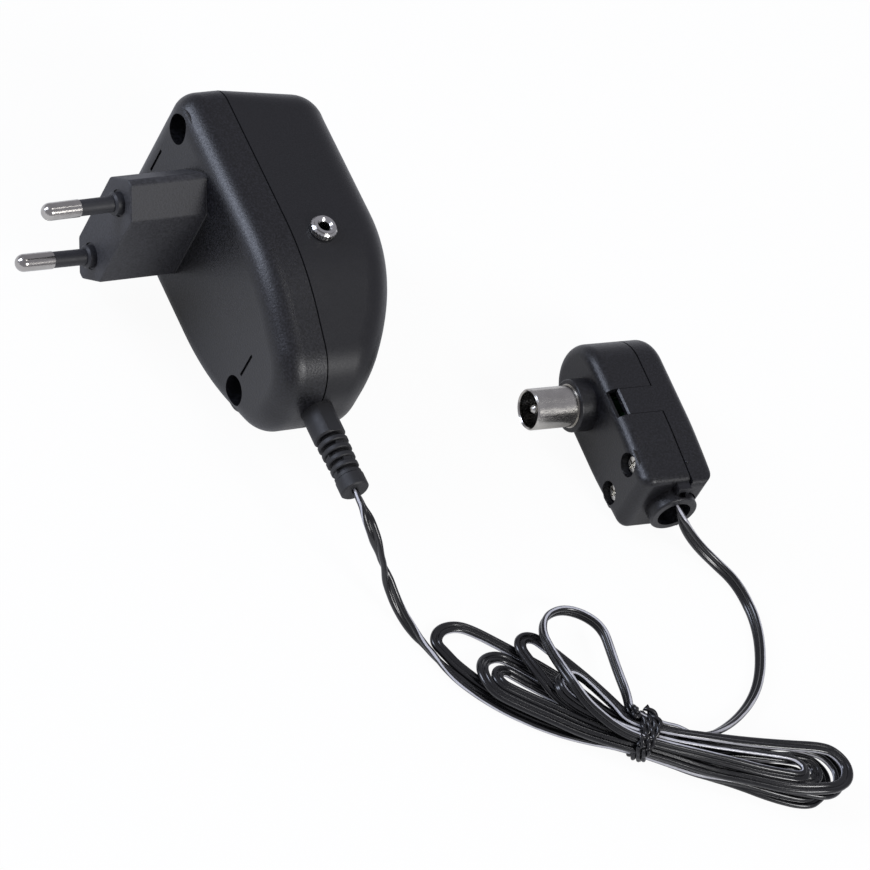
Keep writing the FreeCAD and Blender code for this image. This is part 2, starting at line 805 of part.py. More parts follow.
def plug_outline(a, inset=0.0, end_b=plug_end_b):
    """Outline of the plug housing: round at one end, drawn in to the cable end."""
    half = plug_half - inset
    end_half = plug_end_half - inset
    round_end = plug_round_b + plug_half - inset
    end = end_b + inset
    corner = max(1.6 - inset, 0.3)
    corners = [
        (round_end, half, half),
        (round_end, -half, half),
        (plug_taper_b, -half, 60.0),
        (end, -end_half, corner),
        (end, end_half, corner),
        (plug_taper_b, half, 60.0),
    ]
    return rounded_loop(corners, lambda point: V(a, point.x, point.y))


def plug_prism(a0, a1, inset=0.0, end_b=plug_end_b):
    """Straight plug housing body between two planes."""
    return Part.Face(plug_outline(a0, inset, end_b)).extrude(V(a1 - a0, 0, 0))


def collar_axis(b):
    """Point on the axis of the cable entry."""
    return V(collar_a, b, 0)


def plug_front_shell():
    """Front half of the aerial plug with its boss, screw wells, cradle and cable collar."""
    body = plug_prism(plug_face_a, plug_parting_a)
    body = body.makeFillet(plug_face_edge, edges_where(body, lambda c: c.x < plug_face_a + 0.01))
    body = body.cut(plug_prism(plug_face_a + plug_wall, plug_parting_a + 1, plug_wall))
    inner = plug_face_a + plug_wall
    boss = rod(boss_radius, V(sleeve_free_length, 0, 0), V(inner, 0, 0))
    boss = boss.makeFillet(0.5, edges_where(boss, lambda c: c.x < sleeve_free_length + 0.01))
    collar = rod(collar_radius, collar_axis(plug_end_b + plug_wall), collar_axis(collar_end_b))
    collar = collar.makeFillet(0.5, edges_where(collar, lambda c: c.y < collar_end_b + 0.01))
    lug = box((23.6, -30.6, 4.0), (plug_parting_a - 0.1, plug_end_b + 0.5, 8.0))
    cradle = box((inner - 0.5, plug_screw_b - 3, -3.9), (collar_a - 2.45, plug_screw_b + 3, 3.9))
    added = [boss, collar, lug, cradle]
    for side in (-1, 1):
        seat_end = plug_screw_seat_a + 2.2
        seat = rod(plug_screw_well_radius + 1.0, V(plug_face_a + 0.8, plug_screw_b, side * plug_screw_h),
                   V(seat_end, plug_screw_b, side * plug_screw_h))
        added.append(seat.common(plug_prism(plug_face_a + 0.8, seat_end, 0.5)))
    for b in (-14.6, -1.0):
        for side in (-1, 1):
            low, high = sorted((side * 6.6, side * 8.6))
            post = box((inner - 0.5, b - 1, low), (22.0, b + 1, high))
            added.append(post.common(plug_prism(inner - 0.5, 22, 0.5)))
    solid = joined([body] + added)
    cuts = [rod(sleeve_root_radius, V(0, 0, 0), V(20, 0, 0)),
            rod(collar_bore_radius, collar_axis(plug_end_b + 4), collar_axis(collar_end_b - 1)),
            rod(3.45, collar_axis(plug_screw_b - 4), collar_axis(plug_screw_b + 4)),
            box((24.4, -31.4, 4.9), (26.0, -29.0, 6.6))]
    for side in (-1, 1):
        h = side * plug_screw_h
        well_bottom = V(plug_screw_seat_a, plug_screw_b, h)
        cuts.append(rod(plug_screw_well_radius, V(plug_face_a - 1, plug_screw_b, h), well_bottom))
        cuts.append(rod(plug_screw_shank_radius + 0.05, V(15, plug_screw_b, h), V(21, plug_screw_b, h)))
        low, high = sorted((side * 8.2, side * 11.0))
        cuts.append(box((latch_window_a, latch_low_b, low), (plug_parting_a + 1, latch_high_b, high)))
    return without(solid, cuts)


def cover_envelope():
    """Rounded space round the cover: rounded rim, rear easing towards the cable end."""
    reach = 8.0
    half = plug_half
    round_end = plug_round_b + plug_half
    corners = [
        (round_end, half, half),
        (round_end, -half, half),
        (plug_taper_b, -half, 60.0),
        (plug_end_b - reach, -plug_end_half + 0.6, 4.0),
        (plug_end_b - reach, plug_end_half - 0.6, 4.0),
        (plug_taper_b, half, 60.0),
    ]
    loop = rounded_loop(corners, lambda point: V(plug_parting_a - 1, point.x, point.y))
    rim = Part.Face(loop).extrude(V(plug_rear_a - plug_parting_a + 1, 0, 0))
    rim = rim.makeFillet(plug_rear_edge, edges_where(rim, lambda c: c.x > plug_rear_a - 0.01))
    rise = V(plug_rear_a, plug_round_b - 6, 0)
    bow = V(plug_rear_a - 0.3, plug_round_b - 17, 0)
    knee = V(plug_rear_a - 1.1, plug_cover_end_b + 4.0, 0)
    turn = V(plug_rear_a - 2.3, plug_cover_end_b + 1.2, 0)
    foot = V(plug_rear_a - 5.4, plug_cover_end_b - 0.4, 0)
    edges = [
        Part.LineSegment(V(20, 20, 0), V(plug_rear_a, 20, 0)).toShape(),
        Part.LineSegment(V(plug_rear_a, 20, 0), rise).toShape(),
        Part.Arc(rise, bow, knee).toShape(),
        Part.Arc(knee, turn, foot).toShape(),
        Part.LineSegment(foot, V(20, foot.y, 0)).toShape(),
        Part.LineSegment(V(20, foot.y, 0), V(20, 20, 0)).toShape(),
    ]
    side_view = Part.Face(Part.Wire(edges))
    side_view.translate(V(0, 0, -20))
    return rim.common(side_view.extrude(V(0, 0, 40)))


def plug_rear_cover():
    """Snap-on cover with two latch tongues and a notch round the cable collar."""
    body = plug_prism(plug_parting_a, plug_rear_a, 0, plug_cover_end_b).common(cover_envelope())
    body = body.cut(seam_groove(plug_prism, plug_parting_a))
    body = body.cut(plug_prism(plug_parting_a - 1, 31.0, plug_wall))
    lip = plug_prism(plug_parting_a - 0.9, plug_parting_a + 1, plug_wall + 0.1)
    root = plug_prism(plug_parting_a, plug_parting_a + 1, plug_wall - 0.3)
    lip = lip.fuse(root).cut(plug_prism(plug_parting_a - 2, plug_parting_a + 2, plug_wall + 0.9))
    added = [lip]
    for side in (-1, 1):
        low, high = sorted((side * 8.5, side * plug_half))
        tongue = box((latch_tip_a, latch_low_b + 0.1, low),
                     (plug_parting_a + 1.5, latch_high_b - 0.1, high))
        edge_h = side * plug_half
        tongue = tongue.makeChamfer(0.4, edges_where(
            tongue, lambda c: c.x < latch_tip_a + 0.01 and abs(c.z - edge_h) < 0.01))
        added.append(tongue)
    added.append(Part.makeSphere(0.5, V(plug_parting_a + 0.8, -24.2, 9.15)))
    solid = joined([body] + added)
    notch = rod(collar_radius + 0.3, collar_axis(plug_end_b + plug_wall + 1.0),
                collar_axis(collar_end_b - 1))
    return solid.cut(notch)


def coax_sleeve():
    """Outer contact of the aerial plug, with a flange inside the housing."""
    inner = plug_face_a + plug_wall
    profile = [(sleeve_inner_radius, 0.35), (sleeve_inner_radius + 0.3, 0), (sleeve_radius - 0.3, 0),
               (sleeve_radius, 0.4), (sleeve_radius, sleeve_free_length),
               (sleeve_root_radius, sleeve_free_length), (sleeve_root_radius, inner),
               (6.6, inner), (6.6, inner + 0.8),
               (sleeve_inner_radius, inner + 0.8)]
    return turned(profile, V(0, 0, 0), X_AXIS)


def coax_insulator():
    """Black insulator that carries the centre contact."""
    inner = plug_face_a + plug_wall
    profile = [(centre_pin_radius, 5.5), (3.0, 5.5), (3.0, 6.3), (sleeve_inner_radius, 6.3),
               (sleeve_inner_radius, inner + 0.8), (3.0, inner + 0.8), (3.0, 18.4),
               (centre_pin_radius, 18.4)]
    return turned(profile, V(0, 0, 0), X_AXIS)


def coax_pin():
    """Centre contact with a round tip and a soldered tail through the board."""
    profile = [(0, 0.9), (0.6, 1.05), (1.0, 1.45), (centre_pin_radius, 2.0), (centre_pin_radius, 22.0),
               (0.8, 22.0), (0.8, 24.4), (0, 24.4)]
    return turned(profile, V(0, 0, 0), X_AXIS)


def ground_plate():
    """Pressed plate from the outer contact's flange to the board."""
    low = plug_face_a + plug_wall + 0.8
    plate = box((low, -5.6, -5.2), (low + 0.6, 5.6, 5.2))
    legs = [box((low, -2.0, z), (22.0, 2.0, z + 0.6)) for z in (-5.2, 4.6)]
    solid = joined([plate] + legs)
    return solid.cut(rod(3.1, V(low - 1, 0, 0), V(low + 2, 0, 0)))


def plug_board():
    """Small filter board on four posts."""
    corners = [(11.9, 7.5, 7.5), (11.9, -7.5, 7.5), (-16.0, -7.5, 1.0), (-16.0, 7.5, 1.0)]
    face = Part.Face(rounded_loop(corners, lambda point: V(22.0, point.x, point.y)))
    return face.extrude(V(1.6, 0, 0)).cut(rod(0.8, V(21, 0, 0), V(25, 0, 0)))


def blocking_capacitor():
    """Flat capacitor beside the centre contact's tail."""
    body = box((23.6, 2.6, -3.5), (28.0, 5.2, 3.5))
    return body.makeFillet(0.8, edges_where(body, lambda c: c.x > 27.9))


def feed_choke():
    """Small ring core standing on the board, wound with a few turns."""
    centre = V(27.0, -5.4, 2.8)
    ring = tube(3.1, 1.5, centre, centre + V(0, 2.2, 0))
    turns = []
    for i in range(7):
        angle = math.radians(90 + 40 * i - 120)
        middle = centre + V(math.cos(angle), 0, math.sin(angle)) * 2.3 + V(0, 1.1, 0)
        wrap = box((-1.05, -1.35, -0.25), (1.05, 1.35, 0.25))
        wrap.rotate(V(0, 0, 0), Y_AXIS, -math.degrees(angle))
        wrap.translate(middle)
        turns.append(wrap)
    return joined([ring] + turns)


def centre_terminal():
    """Clamp terminal for the inner conductor of the aerial cable."""
    body = box((23.6, -13.6, -3.4), (28.4, -9.2, 1.6))
    hole = rod(1.0, V(25.4, -14, -0.9), V(25.4, -8, -0.9))
    well = rod(1.45, V(26.6, -11.4, -0.9), V(29, -11.4, -0.9))
    return without(body, [hole, well])


def terminal_screw():
    """Slotted screw of the clamp terminal."""
    screw = rod(1.4, V(26.6, -11.4, -0.9), V(29.2, -11.4, -0.9))
    return screw.cut(box((28.7, -13.4, -1.15), (30, -9.4, -0.65)))


def clamp_saddle():
    """Bent strap that presses the aerial cable into its cradle."""
    low = plug_screw_b - 2.6
    high = plug_screw_b + 2.6
    arch = tube(4.4, 3.5, collar_axis(low), collar_axis(high))
    arch = arch.common(box((collar_a - 1.5, low - 1, -5), (31, high + 1, 5)))
    feet = []
    for side in (-1, 1):
        h0, h1 = sorted((side * 3.25, side * 7.4))
        feet.append(box((collar_a - 2.4, low, h0), (collar_a - 1.5, high, h1)))
    solid = joined([arch] + feet)
    holes = [rod(plug_screw_shank_radius + 0.05, V(15, plug_screw_b, side * plug_screw_h),
                 V(27, plug_screw_b, side * plug_screw_h)) for side in (-1, 1)]
    bore = rod(3.5, collar_axis(low - 1), collar_axis(high + 1))
    return without(solid, holes + [bore])


def clamp_screws():
    """Two screws of the cable clamp, heads sunk in the front face."""
    return [pan_screw(V(plug_screw_seat_a, plug_screw_b, side * plug_screw_h), V(-1, 0, 0),
                      plug_screw_head_radius, 1.5, plug_screw_shank_radius, plug_screw_length)
            for side in (-1, 1)]


def flex_anchor():
    """Web across one side of the cable entry that holds the flex."""
    start = plug_end_b + plug_wall
    web = rod(collar_bore_radius, collar_axis(start - 1.4), collar_axis(start))
    return web.common(box((collar_a - 5, start - 2, 1.3), (collar_a + 5, start + 1, 5)))


def plug_leads():
    """The flex's two conductors inside the aerial plug."""
    start = plug_end_b + plug_wall
    leads = []
    for h0, h1 in ((1.6, 3.6), (2.7, 6.2)):
        points = [V(24.9, start, h0), V(25.1, -21.6, h0), V(25.1, -17.8, h0),
                  V(25.7, -15.8, (h0 + h1) / 2), V(26.2, -13.2, h1), V(23.6, -13.2, h1)]
        leads.append(route_tube(points, 0.45))
    return leads


# twin flex: free stretches and hank

def ease(share):
    """Smooth rise from 0 to 1."""
    share = max(0.0, min(1.0, share))
    return share * share * (3 - 2 * share)


def waist_point(side, along, across, height):
    """Point given along and across the hank from its waist. Across is positive on the far side."""
    turn = math.radians(hank_left_turn if side == "left" else hank_right_turn)
    way = V(math.cos(turn), math.sin(turn), 0)
    far = V(way.y, -way.x, 0) if side == "left" else V(-way.y, way.x, 0)
    return hank_waist + way * along + far * across + V(0, 0, height)


def layer(number):
    """Height of a layer of the hank."""
    return cord_rest + hank_rise * number


def loop_points(side, first, last, size, layers):
    """Points of one loop from its first to its last place at the waist.

    The size is (lean, reach, half width, length of the round end, belly, sway, skew) and
    the layers are the heights at the nine stations."""
    lean, reach, half, end_length, belly, sway, skew = size
    out_side = 1 if first > last else -1
    neck = reach - end_length
    turn = math.radians(lean)
    middle = (first + last) / 2
    start_half = abs(first - last) / 2

    def place(u, v, number):
        along = u * math.cos(turn) - v * math.sin(turn)
        across = u * math.sin(turn) + v * math.cos(turn)
        return waist_point(side, along, across, layer(number))

    def centre(share):
        return (middle * (1 - ease(share * 1.6)) + sway * math.sin(math.pi * 0.8 * share)
                + skew * share * share)

    def width(share):
        return start_half + (half - start_half) * ease(share) + belly * math.sin(math.pi * share)

    low = hank_waist_reach / neck
    shares = [low + (1 - low) * station for station in loop_stations]
    points = [waist_point(side, hank_waist_reach, first, layer(layers[0]) + hank_waist_lift)]
    for share, number in zip(shares, layers[1:4]):
        points.append(place(share * neck, centre(share) + out_side * width(share), number))
    for degrees in loop_end_turns:
        angle = math.radians(degrees)
        blend = degrees / 90
        number = layers[4] + (layers[3] if blend > 0 else layers[5]) * abs(blend) - layers[4] * abs(blend)
        points.append(place(neck + end_length * 1.04 * math.cos(angle),
                            centre(1.0) + out_side * half * 1.04 * math.sin(angle), number))
    for share, number in zip(shares[::-1], layers[5:8]):
        points.append(place(share * neck, centre(share) - out_side * width(share), number))
    points.append(waist_point(side, hank_waist_reach, last, layer(layers[8]) + hank_waist_lift))
    return points


# places at the waist in the order in which the flex passes it: (step across, layer)
waist_places = [(-1.5, 0), (1.5, 0), (-0.5, 0), (0.5, 0), (-1, 1), (2, 1), (0, 1), (1, 1), (-2, 1),
                (0.5, 2), (-0.5, 2), (-1.5, 2), (1.5, 2)]

# loops in turn, right and left: size, then a layer or the layers at the nine stations
right_loops = [
    ((-2.4, 47.0, 6.2, 7.0, 0.0, -0.8, 0.0), 0),
    ((-2.2, 41.5, 3.2, 3.7, 0.0, -0.6, 0.0), 0),
    ((0.2, 48.0, 5.5, 6.5, 0.0, 0.0, 0.0), 1),
    ((0.4, 42.5, 2.8, 3.1, 0.0, 0.0, 0.0), 1),
    ((-0.4, 50.0, 5.4, 7.0, 0.0, -1.8, 0.0), (1, 1, 1.5, 2, 2, 2, 2, 2, 2)),
    ((-2.5, 38.0, 2.9, 3.1, 0.0, -0.8, 0.0), 2),
]
left_loops = [
    ((7.4, 50.2, 6.5, 7.5, 1.2, 0.0, 0.0), 0),
    ((2.0, 34.5, 2.9, 3.3, 0.2, 0.0, 0.0), (0, 0, 0, 0.3, 1, 1, 1, 1, 1)),
    ((24.5, 34.0, 3.0, 3.4, 1.8, -1.8, 0.0), 1),
    ((3.8, 38.5, 5.9, 6.2, 0.5, 0.0, 0.0), (1, 0.9, 0.1, 0.1, 0.6, 1, 1, 1, 1)),
    ((13.0, 22.0, 2.8, 2.9, 0.0, 0.0, 0.0), 2),
    ((39.0, 35.8, 8.0, 9.0, 1.0, -4.0, 4.0), (2, 2.9, 3.1, 2.4, 1.7, 1.6, 1.8, 2, 2)),
]


def hank_points():
    """Points of all the loops, right and left in turn."""
    points = []
    for i in range(len(right_loops)):
        halves = (("right", right_loops[i], 2 * i), ("left", left_loops[i], 2 * i + 1))
        for side, (size, layers), step in halves:
            first, last = waist_places[step], waist_places[step + 1]
            levels = layers if isinstance(layers, tuple) else (layers,) * 9
            points += loop_points(side, first[0] * hank_pitch, last[0] * hank_pitch, size, levels)
    return points


def unit_feed():
    """Points of the flex from the strain relief down to the surface and to the hank."""
    rest = cord_rest
    return [V(parting_x, relief_end, 0), V(parting_x, relief_end - 3.7, 0), V(31.8, -84.6, -2.4),
            V(34.6, -88.5, -8.0), V(37.4, -92.6, -13.9), V(39.7, -97.7, -18.0), V(42.4, -103.4, rest),
            V(44.6, -110.0, rest), V(47.8, -116.4, rest), V(52.5, -122.4, rest), V(58.6, -127.9, rest),
            V(65.8, -133.0, rest), V(73.0, -136.6, rest + 0.5),
            waist_point("left", hank_waist_reach, -1.5 * hank_pitch, rest + hank_waist_lift)]


def plug_feed():
    """Points of the flex from the hank along the surface and up into the aerial plug."""
    rest = cord_rest
    top = layer(2)
    return [waist_point("right", hank_waist_reach, 1.5 * hank_pitch, top + hank_waist_lift),
            waist_point("right", 10.5, 4.2, top + 0.9), waist_point("right", 16.5, 4.9, top + 0.2),
            V(104.4, -140.7, -15.9), V(111.0, -137.3, -19.2), V(117.0, -132.7, rest),
            V(121.5, -127.3, rest), V(124.8, -121.6, rest), V(127.2, -115.6, rest), V(128.1, -109.6, -20.0),
            V(126.9, -104.2, -19.2), V(123.9, -99.6, -17.6), V(120.0, -95.8, -15.0), V(116.5, -92.9, -11.6),
            laid_point(24.8, -34.0, 2.6), laid_point(24.8, plug_end_b + plug_wall - 1.4, 2.6)]


def flex_route():
    """All the flex's points, from the strain relief to the aerial plug."""
    return settled(unit_feed() + hank_points() + plug_feed())


def settled(points):
    """The route after strands nearer than the hank's gap have pushed each other apart."""
    shares = [(0.5 * (1 - t) ** 2, 0.5 + t - t * t, 0.5 * t * t) for t in (0.0, 0.25, 0.5, 0.75)]
    places = [V(point) for point in points]
    held = len(unit_feed()) - 2
    free = range(held, len(points) - len(plug_feed()) + 2)
    for turn in range(hank_rounds):
        samples = []
        cells = {}
        for i in range(1, len(places) - 1):
            for share in shares:
                spot = places[i - 1] * share[0] + places[i] * share[1] + places[i + 1] * share[2]
                cell = (int(spot.x // hank_gap), int(spot.y // hank_gap), int(spot.z // hank_gap))
                cells.setdefault(cell, []).append(len(samples))
                samples.append((spot, i, share))
        moves = [V(0, 0, 0) for point in places]
        for cell, members in cells.items():
            near = nearby(cells, cell)
            for first in members:
                for second in near:
                    if second > first and abs(samples[first][1] - samples[second][1]) > 3:
                        push_apart(samples[first], samples[second], moves)
        for i in free:
            step = V(*[max(-0.5, min(0.5, part)) for part in moves[i]])
            places[i] = places[i] + step + (points[i] - places[i]) * 0.02
            places[i].z = max(places[i].z, cord_rest)
    return places


def nearby(cells, cell):
    """Samples in a cell and in the cells round it."""
    found = []
    for dx in (-1, 0, 1):
        for dy in (-1, 0, 1):
            for dz in (-1, 0, 1):
                found += cells.get((cell[0] + dx, cell[1] + dy, cell[2] + dz), [])
    return found


def push_apart(first, second, moves):
    """Share the push between two samples that are too near among their route points."""
    between = first[0] - second[0]
    distance = between.Length
    if distance >= hank_gap or distance < 1e-6:
        return
    push = between * (0.25 * (hank_gap - distance) / distance)
    for k in range(3):
        moves[first[1] - 1 + k] += push * first[2][k]
        moves[second[1] - 1 + k] -= push * second[2][k]


def tie_points():
    """Points of the twist tie: an end, turns round the waist, and the other end."""
    section = [(3.6, 11.0), (7.5, 9.9), (8.8, 6.0), (8.5, 2.6), (6.3, 0.7), (0.0, 0.7), (-5.8, 0.7),
               (-8.0, 2.4), (-8.3, 5.6), (-6.9, 9.2), (-3.4, 10.9), (0.0, 11.3)]
    points = []
    count = len(section)
    for i in range(tie_turns * count + 1):
        across, height = section[i % count]
        along = tie_pitch * (i / count - tie_turns / 2)
        points.append((along, across, height))
    turn = math.radians((hank_left_turn - 180 + hank_right_turn) / 2)
    way = V(math.cos(turn), math.sin(turn), 0)
    far = V(-way.y, way.x, 0)
    ends = [[(-3.6, -8.6, 11.6), (-3.0, -3.2, 12.4)], [(2.9, 7.0, 12.0), (4.2, 9.6, 13.4)]]
    whole = ends[0] + points + ends[1]
    start = hank_waist + V(0, 0, -case_half)
    return [start + way * along + far * across + Z_AXIS * height for along, across, height in whole]


def cord_pieces():
    """The flex as its two free stretches and the hank between them, split on straight runs."""
    route = flex_route()
    first_cut = len(unit_feed()) - 4
    last_cut = len(route) - 12
    first_split = (route[first_cut] + route[first_cut + 1]) * 0.5
    last_split = (route[last_cut] + route[last_cut + 1]) * 0.5
    return {
        "cord_from_unit": route[:first_cut + 1] + [first_split],
        "cord_hank": [first_split] + route[first_cut + 1:last_cut + 1] + [last_split],
        "cord_to_plug": [last_split] + route[last_cut + 1:],
    }


def least_gap(points):
    """Least clear distance of a route's tube to itself, measured on points along it."""
    path = Part.Wire(route_edges(points)[0])
    spots = path.discretize(Distance=0.6)
    reach = 4 * cord_radius
    least = 99.0
    cells = {}
    for i, spot in enumerate(spots):
        cell = (int(spot.x // reach), int(spot.y // reach), int(spot.z // reach))
        for j in nearby(cells, cell):
            if i - j > 12:
                least = min(least, (spot - spots[j]).Length)
        cells.setdefault(cell, []).append(i)
    return least - 2 * cord_radius


def length_along(points):
    """Length of a route with its rounded corners."""
    return Part.Wire(route_edges(points)[0]).Length


# all pieces, each moved to the part's own origin

def pieces():
    """Every piece by its name. A list is several alike pieces in one file."""
    found = {
        "back_cover": back_cover(),
        "front_housing": front_housing(),
        "mains_pins": mains_pins(),
        "pin_sleeves": pin_sleeves(),
        "pin_tabs": pin_tabs(),
        "housing_screws": housing_screws(),
        "transformer_core": transformer_core(),
        "transformer_bobbin": transformer_bobbin(),
        "bobbin_pins": bobbin_pin_rods(),
        "primary_winding": winding(core_y - 6.3, core_y - 0.5),
        "secondary_winding": winding(core_y + 0.5, core_y + 6.3),
        "thermal_fuse": thermal_fuse(),
        "primary_leads": primary_leads(),
        "secondary_leads": secondary_leads(),
        "circuit_board": circuit_board(),
        "rectifier_diodes": rectifier_diodes(),
        "filter_capacitor": filter_capacitor(),
        "voltage_regulator": voltage_regulator(),
        "output_leads": output_leads(),
        "cord_leads": cord_leads(),
        "jack_body": jack_body(),
        "jack_bushing": jack_bushing(),
        "jack_nut": jack_nut(),
        "jack_contacts": jack_contacts(),
        "cord_strain_relief": cord_strain_relief(),
    }
    in_plug = {
        "plug_front_shell": plug_front_shell(),
        "plug_rear_cover": plug_rear_cover(),
        "coax_sleeve": coax_sleeve(),
        "coax_insulator": coax_insulator(),
        "coax_pin": coax_pin(),
        "ground_plate": ground_plate(),
        "plug_board": plug_board(),
        "blocking_capacitor": blocking_capacitor(),
        "feed_choke": feed_choke(),
        "centre_terminal": centre_terminal(),
        "terminal_screw": terminal_screw(),
        "clamp_saddle": clamp_saddle(),
        "clamp_screws": clamp_screws(),
        "flex_anchor": flex_anchor(),
        "plug_leads": plug_leads(),
    }
    for name, shape in in_plug.items():
        found[name] = [laid(one) for one in shape] if isinstance(shape, list) else laid(shape)
    for name, points in cord_pieces().items():
        found[name] = route_tube(points, cord_radius)
    found["twist_tie"] = route_tube(tie_points(), tie_radius)
    return found


def print_cord():
    """Print the flex's lengths, radii and least gap."""
    section = math.pi * cord_radius ** 2
    for name, points in cord_pieces().items():
        radii = route_edges(points)[1]
        length = length_along(points)
        print(name, "length %.1f" % length, "section x length %.1f" % (section * length),
              "radii %.2f up" % min(radii))
    whole = flex_route()
    print("flex length %.1f" % length_along(whole), "least gap %.2f" % least_gap(whole))
    print("tie radii from %.2f" % min(route_edges(tie_points())[1]))


def export_all():
    """Write one file for each node."""
    os.makedirs("parts", exist_ok=True)
    for name, shape in pieces().items():
        group = shape if isinstance(shape, list) else [shape]
        moved = []
        for one in group:
            one = one.copy()
            one.translate(frame_shift)
            moved.append(one)
        whole = Part.makeCompound(moved) if len(moved) > 1 else moved[0]
        whole.exportStep("parts/" + name + ".step")
        box_found = whole.optimalBoundingBox()
        print(name, "valid" if whole.isValid() else "not valid", "solids %d" % len(whole.Solids),
              "volume %.1f" % whole.Volume,
              "x %.2f %.2f" % (box_found.XMin, box_found.XMax),
              "y %.2f %.2f" % (box_found.YMin, box_found.YMax),
              "z %.2f %.2f" % (box_found.ZMin, box_found.ZMax))


print_cord()
export_all()
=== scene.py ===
import json
import math

import bmesh
import bpy
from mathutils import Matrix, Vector


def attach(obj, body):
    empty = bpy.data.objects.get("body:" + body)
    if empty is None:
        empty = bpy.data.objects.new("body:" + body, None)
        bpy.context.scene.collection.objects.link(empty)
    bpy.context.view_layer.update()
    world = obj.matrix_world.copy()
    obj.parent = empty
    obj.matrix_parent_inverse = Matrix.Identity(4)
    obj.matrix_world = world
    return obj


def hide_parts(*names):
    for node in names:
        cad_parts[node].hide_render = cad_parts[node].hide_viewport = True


# Plug-in mains supply with an aerial plug on a twin flex, as it lies on a table.
# Lengths are in millimetres from the middle of the mains plug's face, and are turned into
# metres in the part's frame by `placed`.

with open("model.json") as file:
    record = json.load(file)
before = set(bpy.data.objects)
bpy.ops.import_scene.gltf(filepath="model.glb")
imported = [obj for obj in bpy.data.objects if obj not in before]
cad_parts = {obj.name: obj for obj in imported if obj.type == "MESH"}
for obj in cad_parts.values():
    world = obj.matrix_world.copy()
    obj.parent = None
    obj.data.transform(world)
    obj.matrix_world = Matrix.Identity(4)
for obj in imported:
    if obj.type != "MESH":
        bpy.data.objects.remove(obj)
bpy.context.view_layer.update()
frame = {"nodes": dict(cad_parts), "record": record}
nodes = frame["nodes"]

MM = 0.001

# casing and relief, as in the solids
case_half = 21.3
relief_end = -76.4
parting_x = 30.4

# coarse texture of the plug block: where it ends, just short of the back plate, and its soft edge
coarse_end_x = 19.0
coarse_soft_edge = 0.3

# aerial plug, the port at which the flex enters it, and how far outside the wall's inner face
# the flex stops
plug_half = 10.0
plug_place = (90.8, -54.53, plug_half - case_half)
plug_turn = -2.5
plug_end_b = -28.8
plug_wall = 1.6
plug_port_a = 24.8
plug_port_height = 2.6
plug_flex_stop = 1.4

# twin flex: where it rests, and the waist and layers of its hank
cord_radius = 1.1
cord_rest = -case_half + cord_radius + 0.1
hank_waist = (82.7, -139.2, 0)
hank_left_turn = 143.0
hank_right_turn = -23.0
hank_pitch = 2.66
hank_rise = 2.6
hank_waist_lift = 1.75
hank_waist_reach = 4.5
flex_conductor_radius = 0.7
flex_conductor_offset = 0.72

# form of a loop: stations along its sides, then the turns and growth of its round end, how soon
# its middle reaches its own line, and the part of a half wave in its sway
loop_stations = (0.3, 0.55, 0.8)
loop_end_turns = (82, 53, 19, -19, -53, -82)
loop_end_growth = 1.04
loop_centring = 1.6
loop_sway_wave = 0.8

# strands that push each other apart: the gap they keep, the rounds, how many route points
# further on another strand begins, the push, the longest step and the pull back, and how many
# points of each feed move too
hank_gap = 2.95
hank_rounds = 90
hank_own_points = 3
hank_push = 0.25
hank_longest_step = 0.5
hank_pull_back = 0.02
hank_feed_points = 2

# strands drawn together under the tie: shares of width and height that are left, how far it
# reaches on the two sides, and how it lets go on the near side of the right loops
waist_width_share = 0.6
waist_height_share = 0.74
waist_reach_left = 20.0
waist_reach_right = 42.0
waist_near_side = -0.12
waist_near_ease = 0.55

# twist tie: its turns, its two strands and the length of one turn of their twist in metres, how
# the turns fan out over the waist, then its path as (across, height) round the waist and
# (along, across, height) at its ends
tie_turns = 4
tie_pitch = 1.25
tie_strand_radius = 0.55
tie_strand_offset = 0.42
tie_twist = 0.0052
tie_fan_least = 0.5
tie_fan_rate = 0.07
tie_half_width = 5
tie_section = [(2.4, 7.9), (4.3, 6.8), (5.0, 4.6), (4.6, 2.4), (3.2, 1.2), (0.0, 1.1),
               (-3.0, 1.2), (-4.4, 2.3), (-4.9, 4.4), (-4.1, 6.6), (-2.2, 7.7), (0.0, 8.2)]
tie_first_end = [(-3.4, 4.4, 8.0), (-3.7, 3.6, 8.6), (-3.4, 2.2, 8.6)]
tie_last_end = [(1.6, 3.4, 8.2), (0.2, 4.6, 8.2), (-1.0, 5.4, 8.0)]

# section of two strands: the middle of each and how far it reaches from there, as shares of the
# way round the section, then its arc in degrees and the steps in that arc
strand_middles = (0.25, 0.75)
strand_reach = 0.24
strand_arc = 310
strand_steps = 12

# sweep: points per span of a line, the least step along it, the slope from which a section
# keeps its last way up, and the air under a section that lies on the table
line_steps = 14
least_step = 0.02
steep_slope = 0.75
steep_range = 0.2
table_clearance = 0.05

# place of the middle of the mains plug's face in the part's frame
frame_shift = (-53.4, 32.81, case_half)


def placed(point):
    """A point in metres in the part's frame."""
    return Vector([(value + shift) * MM for value, shift in zip(point, frame_shift)])


def plus(first, second):
    """Sum of two points."""
    return tuple(a + b for a, b in zip(first, second))


def times(point, factor):
    """A point with every value multiplied."""
    return tuple(value * factor for value in point)


def laid_point(a, b, h):
    """Place of a point of the aerial plug, given along and across it."""
    turn = math.radians(plug_turn)
    return (plug_place[0] + a * math.cos(turn) - b * math.sin(turn),
            plug_place[1] + a * math.sin(turn) + b * math.cos(turn), plug_place[2] + h)


# route of the twin flex

def ease(share):
    """Smooth rise from 0 to 1."""
    share = max(0.0, min(1.0, share))
    return share * share * (3 - 2 * share)


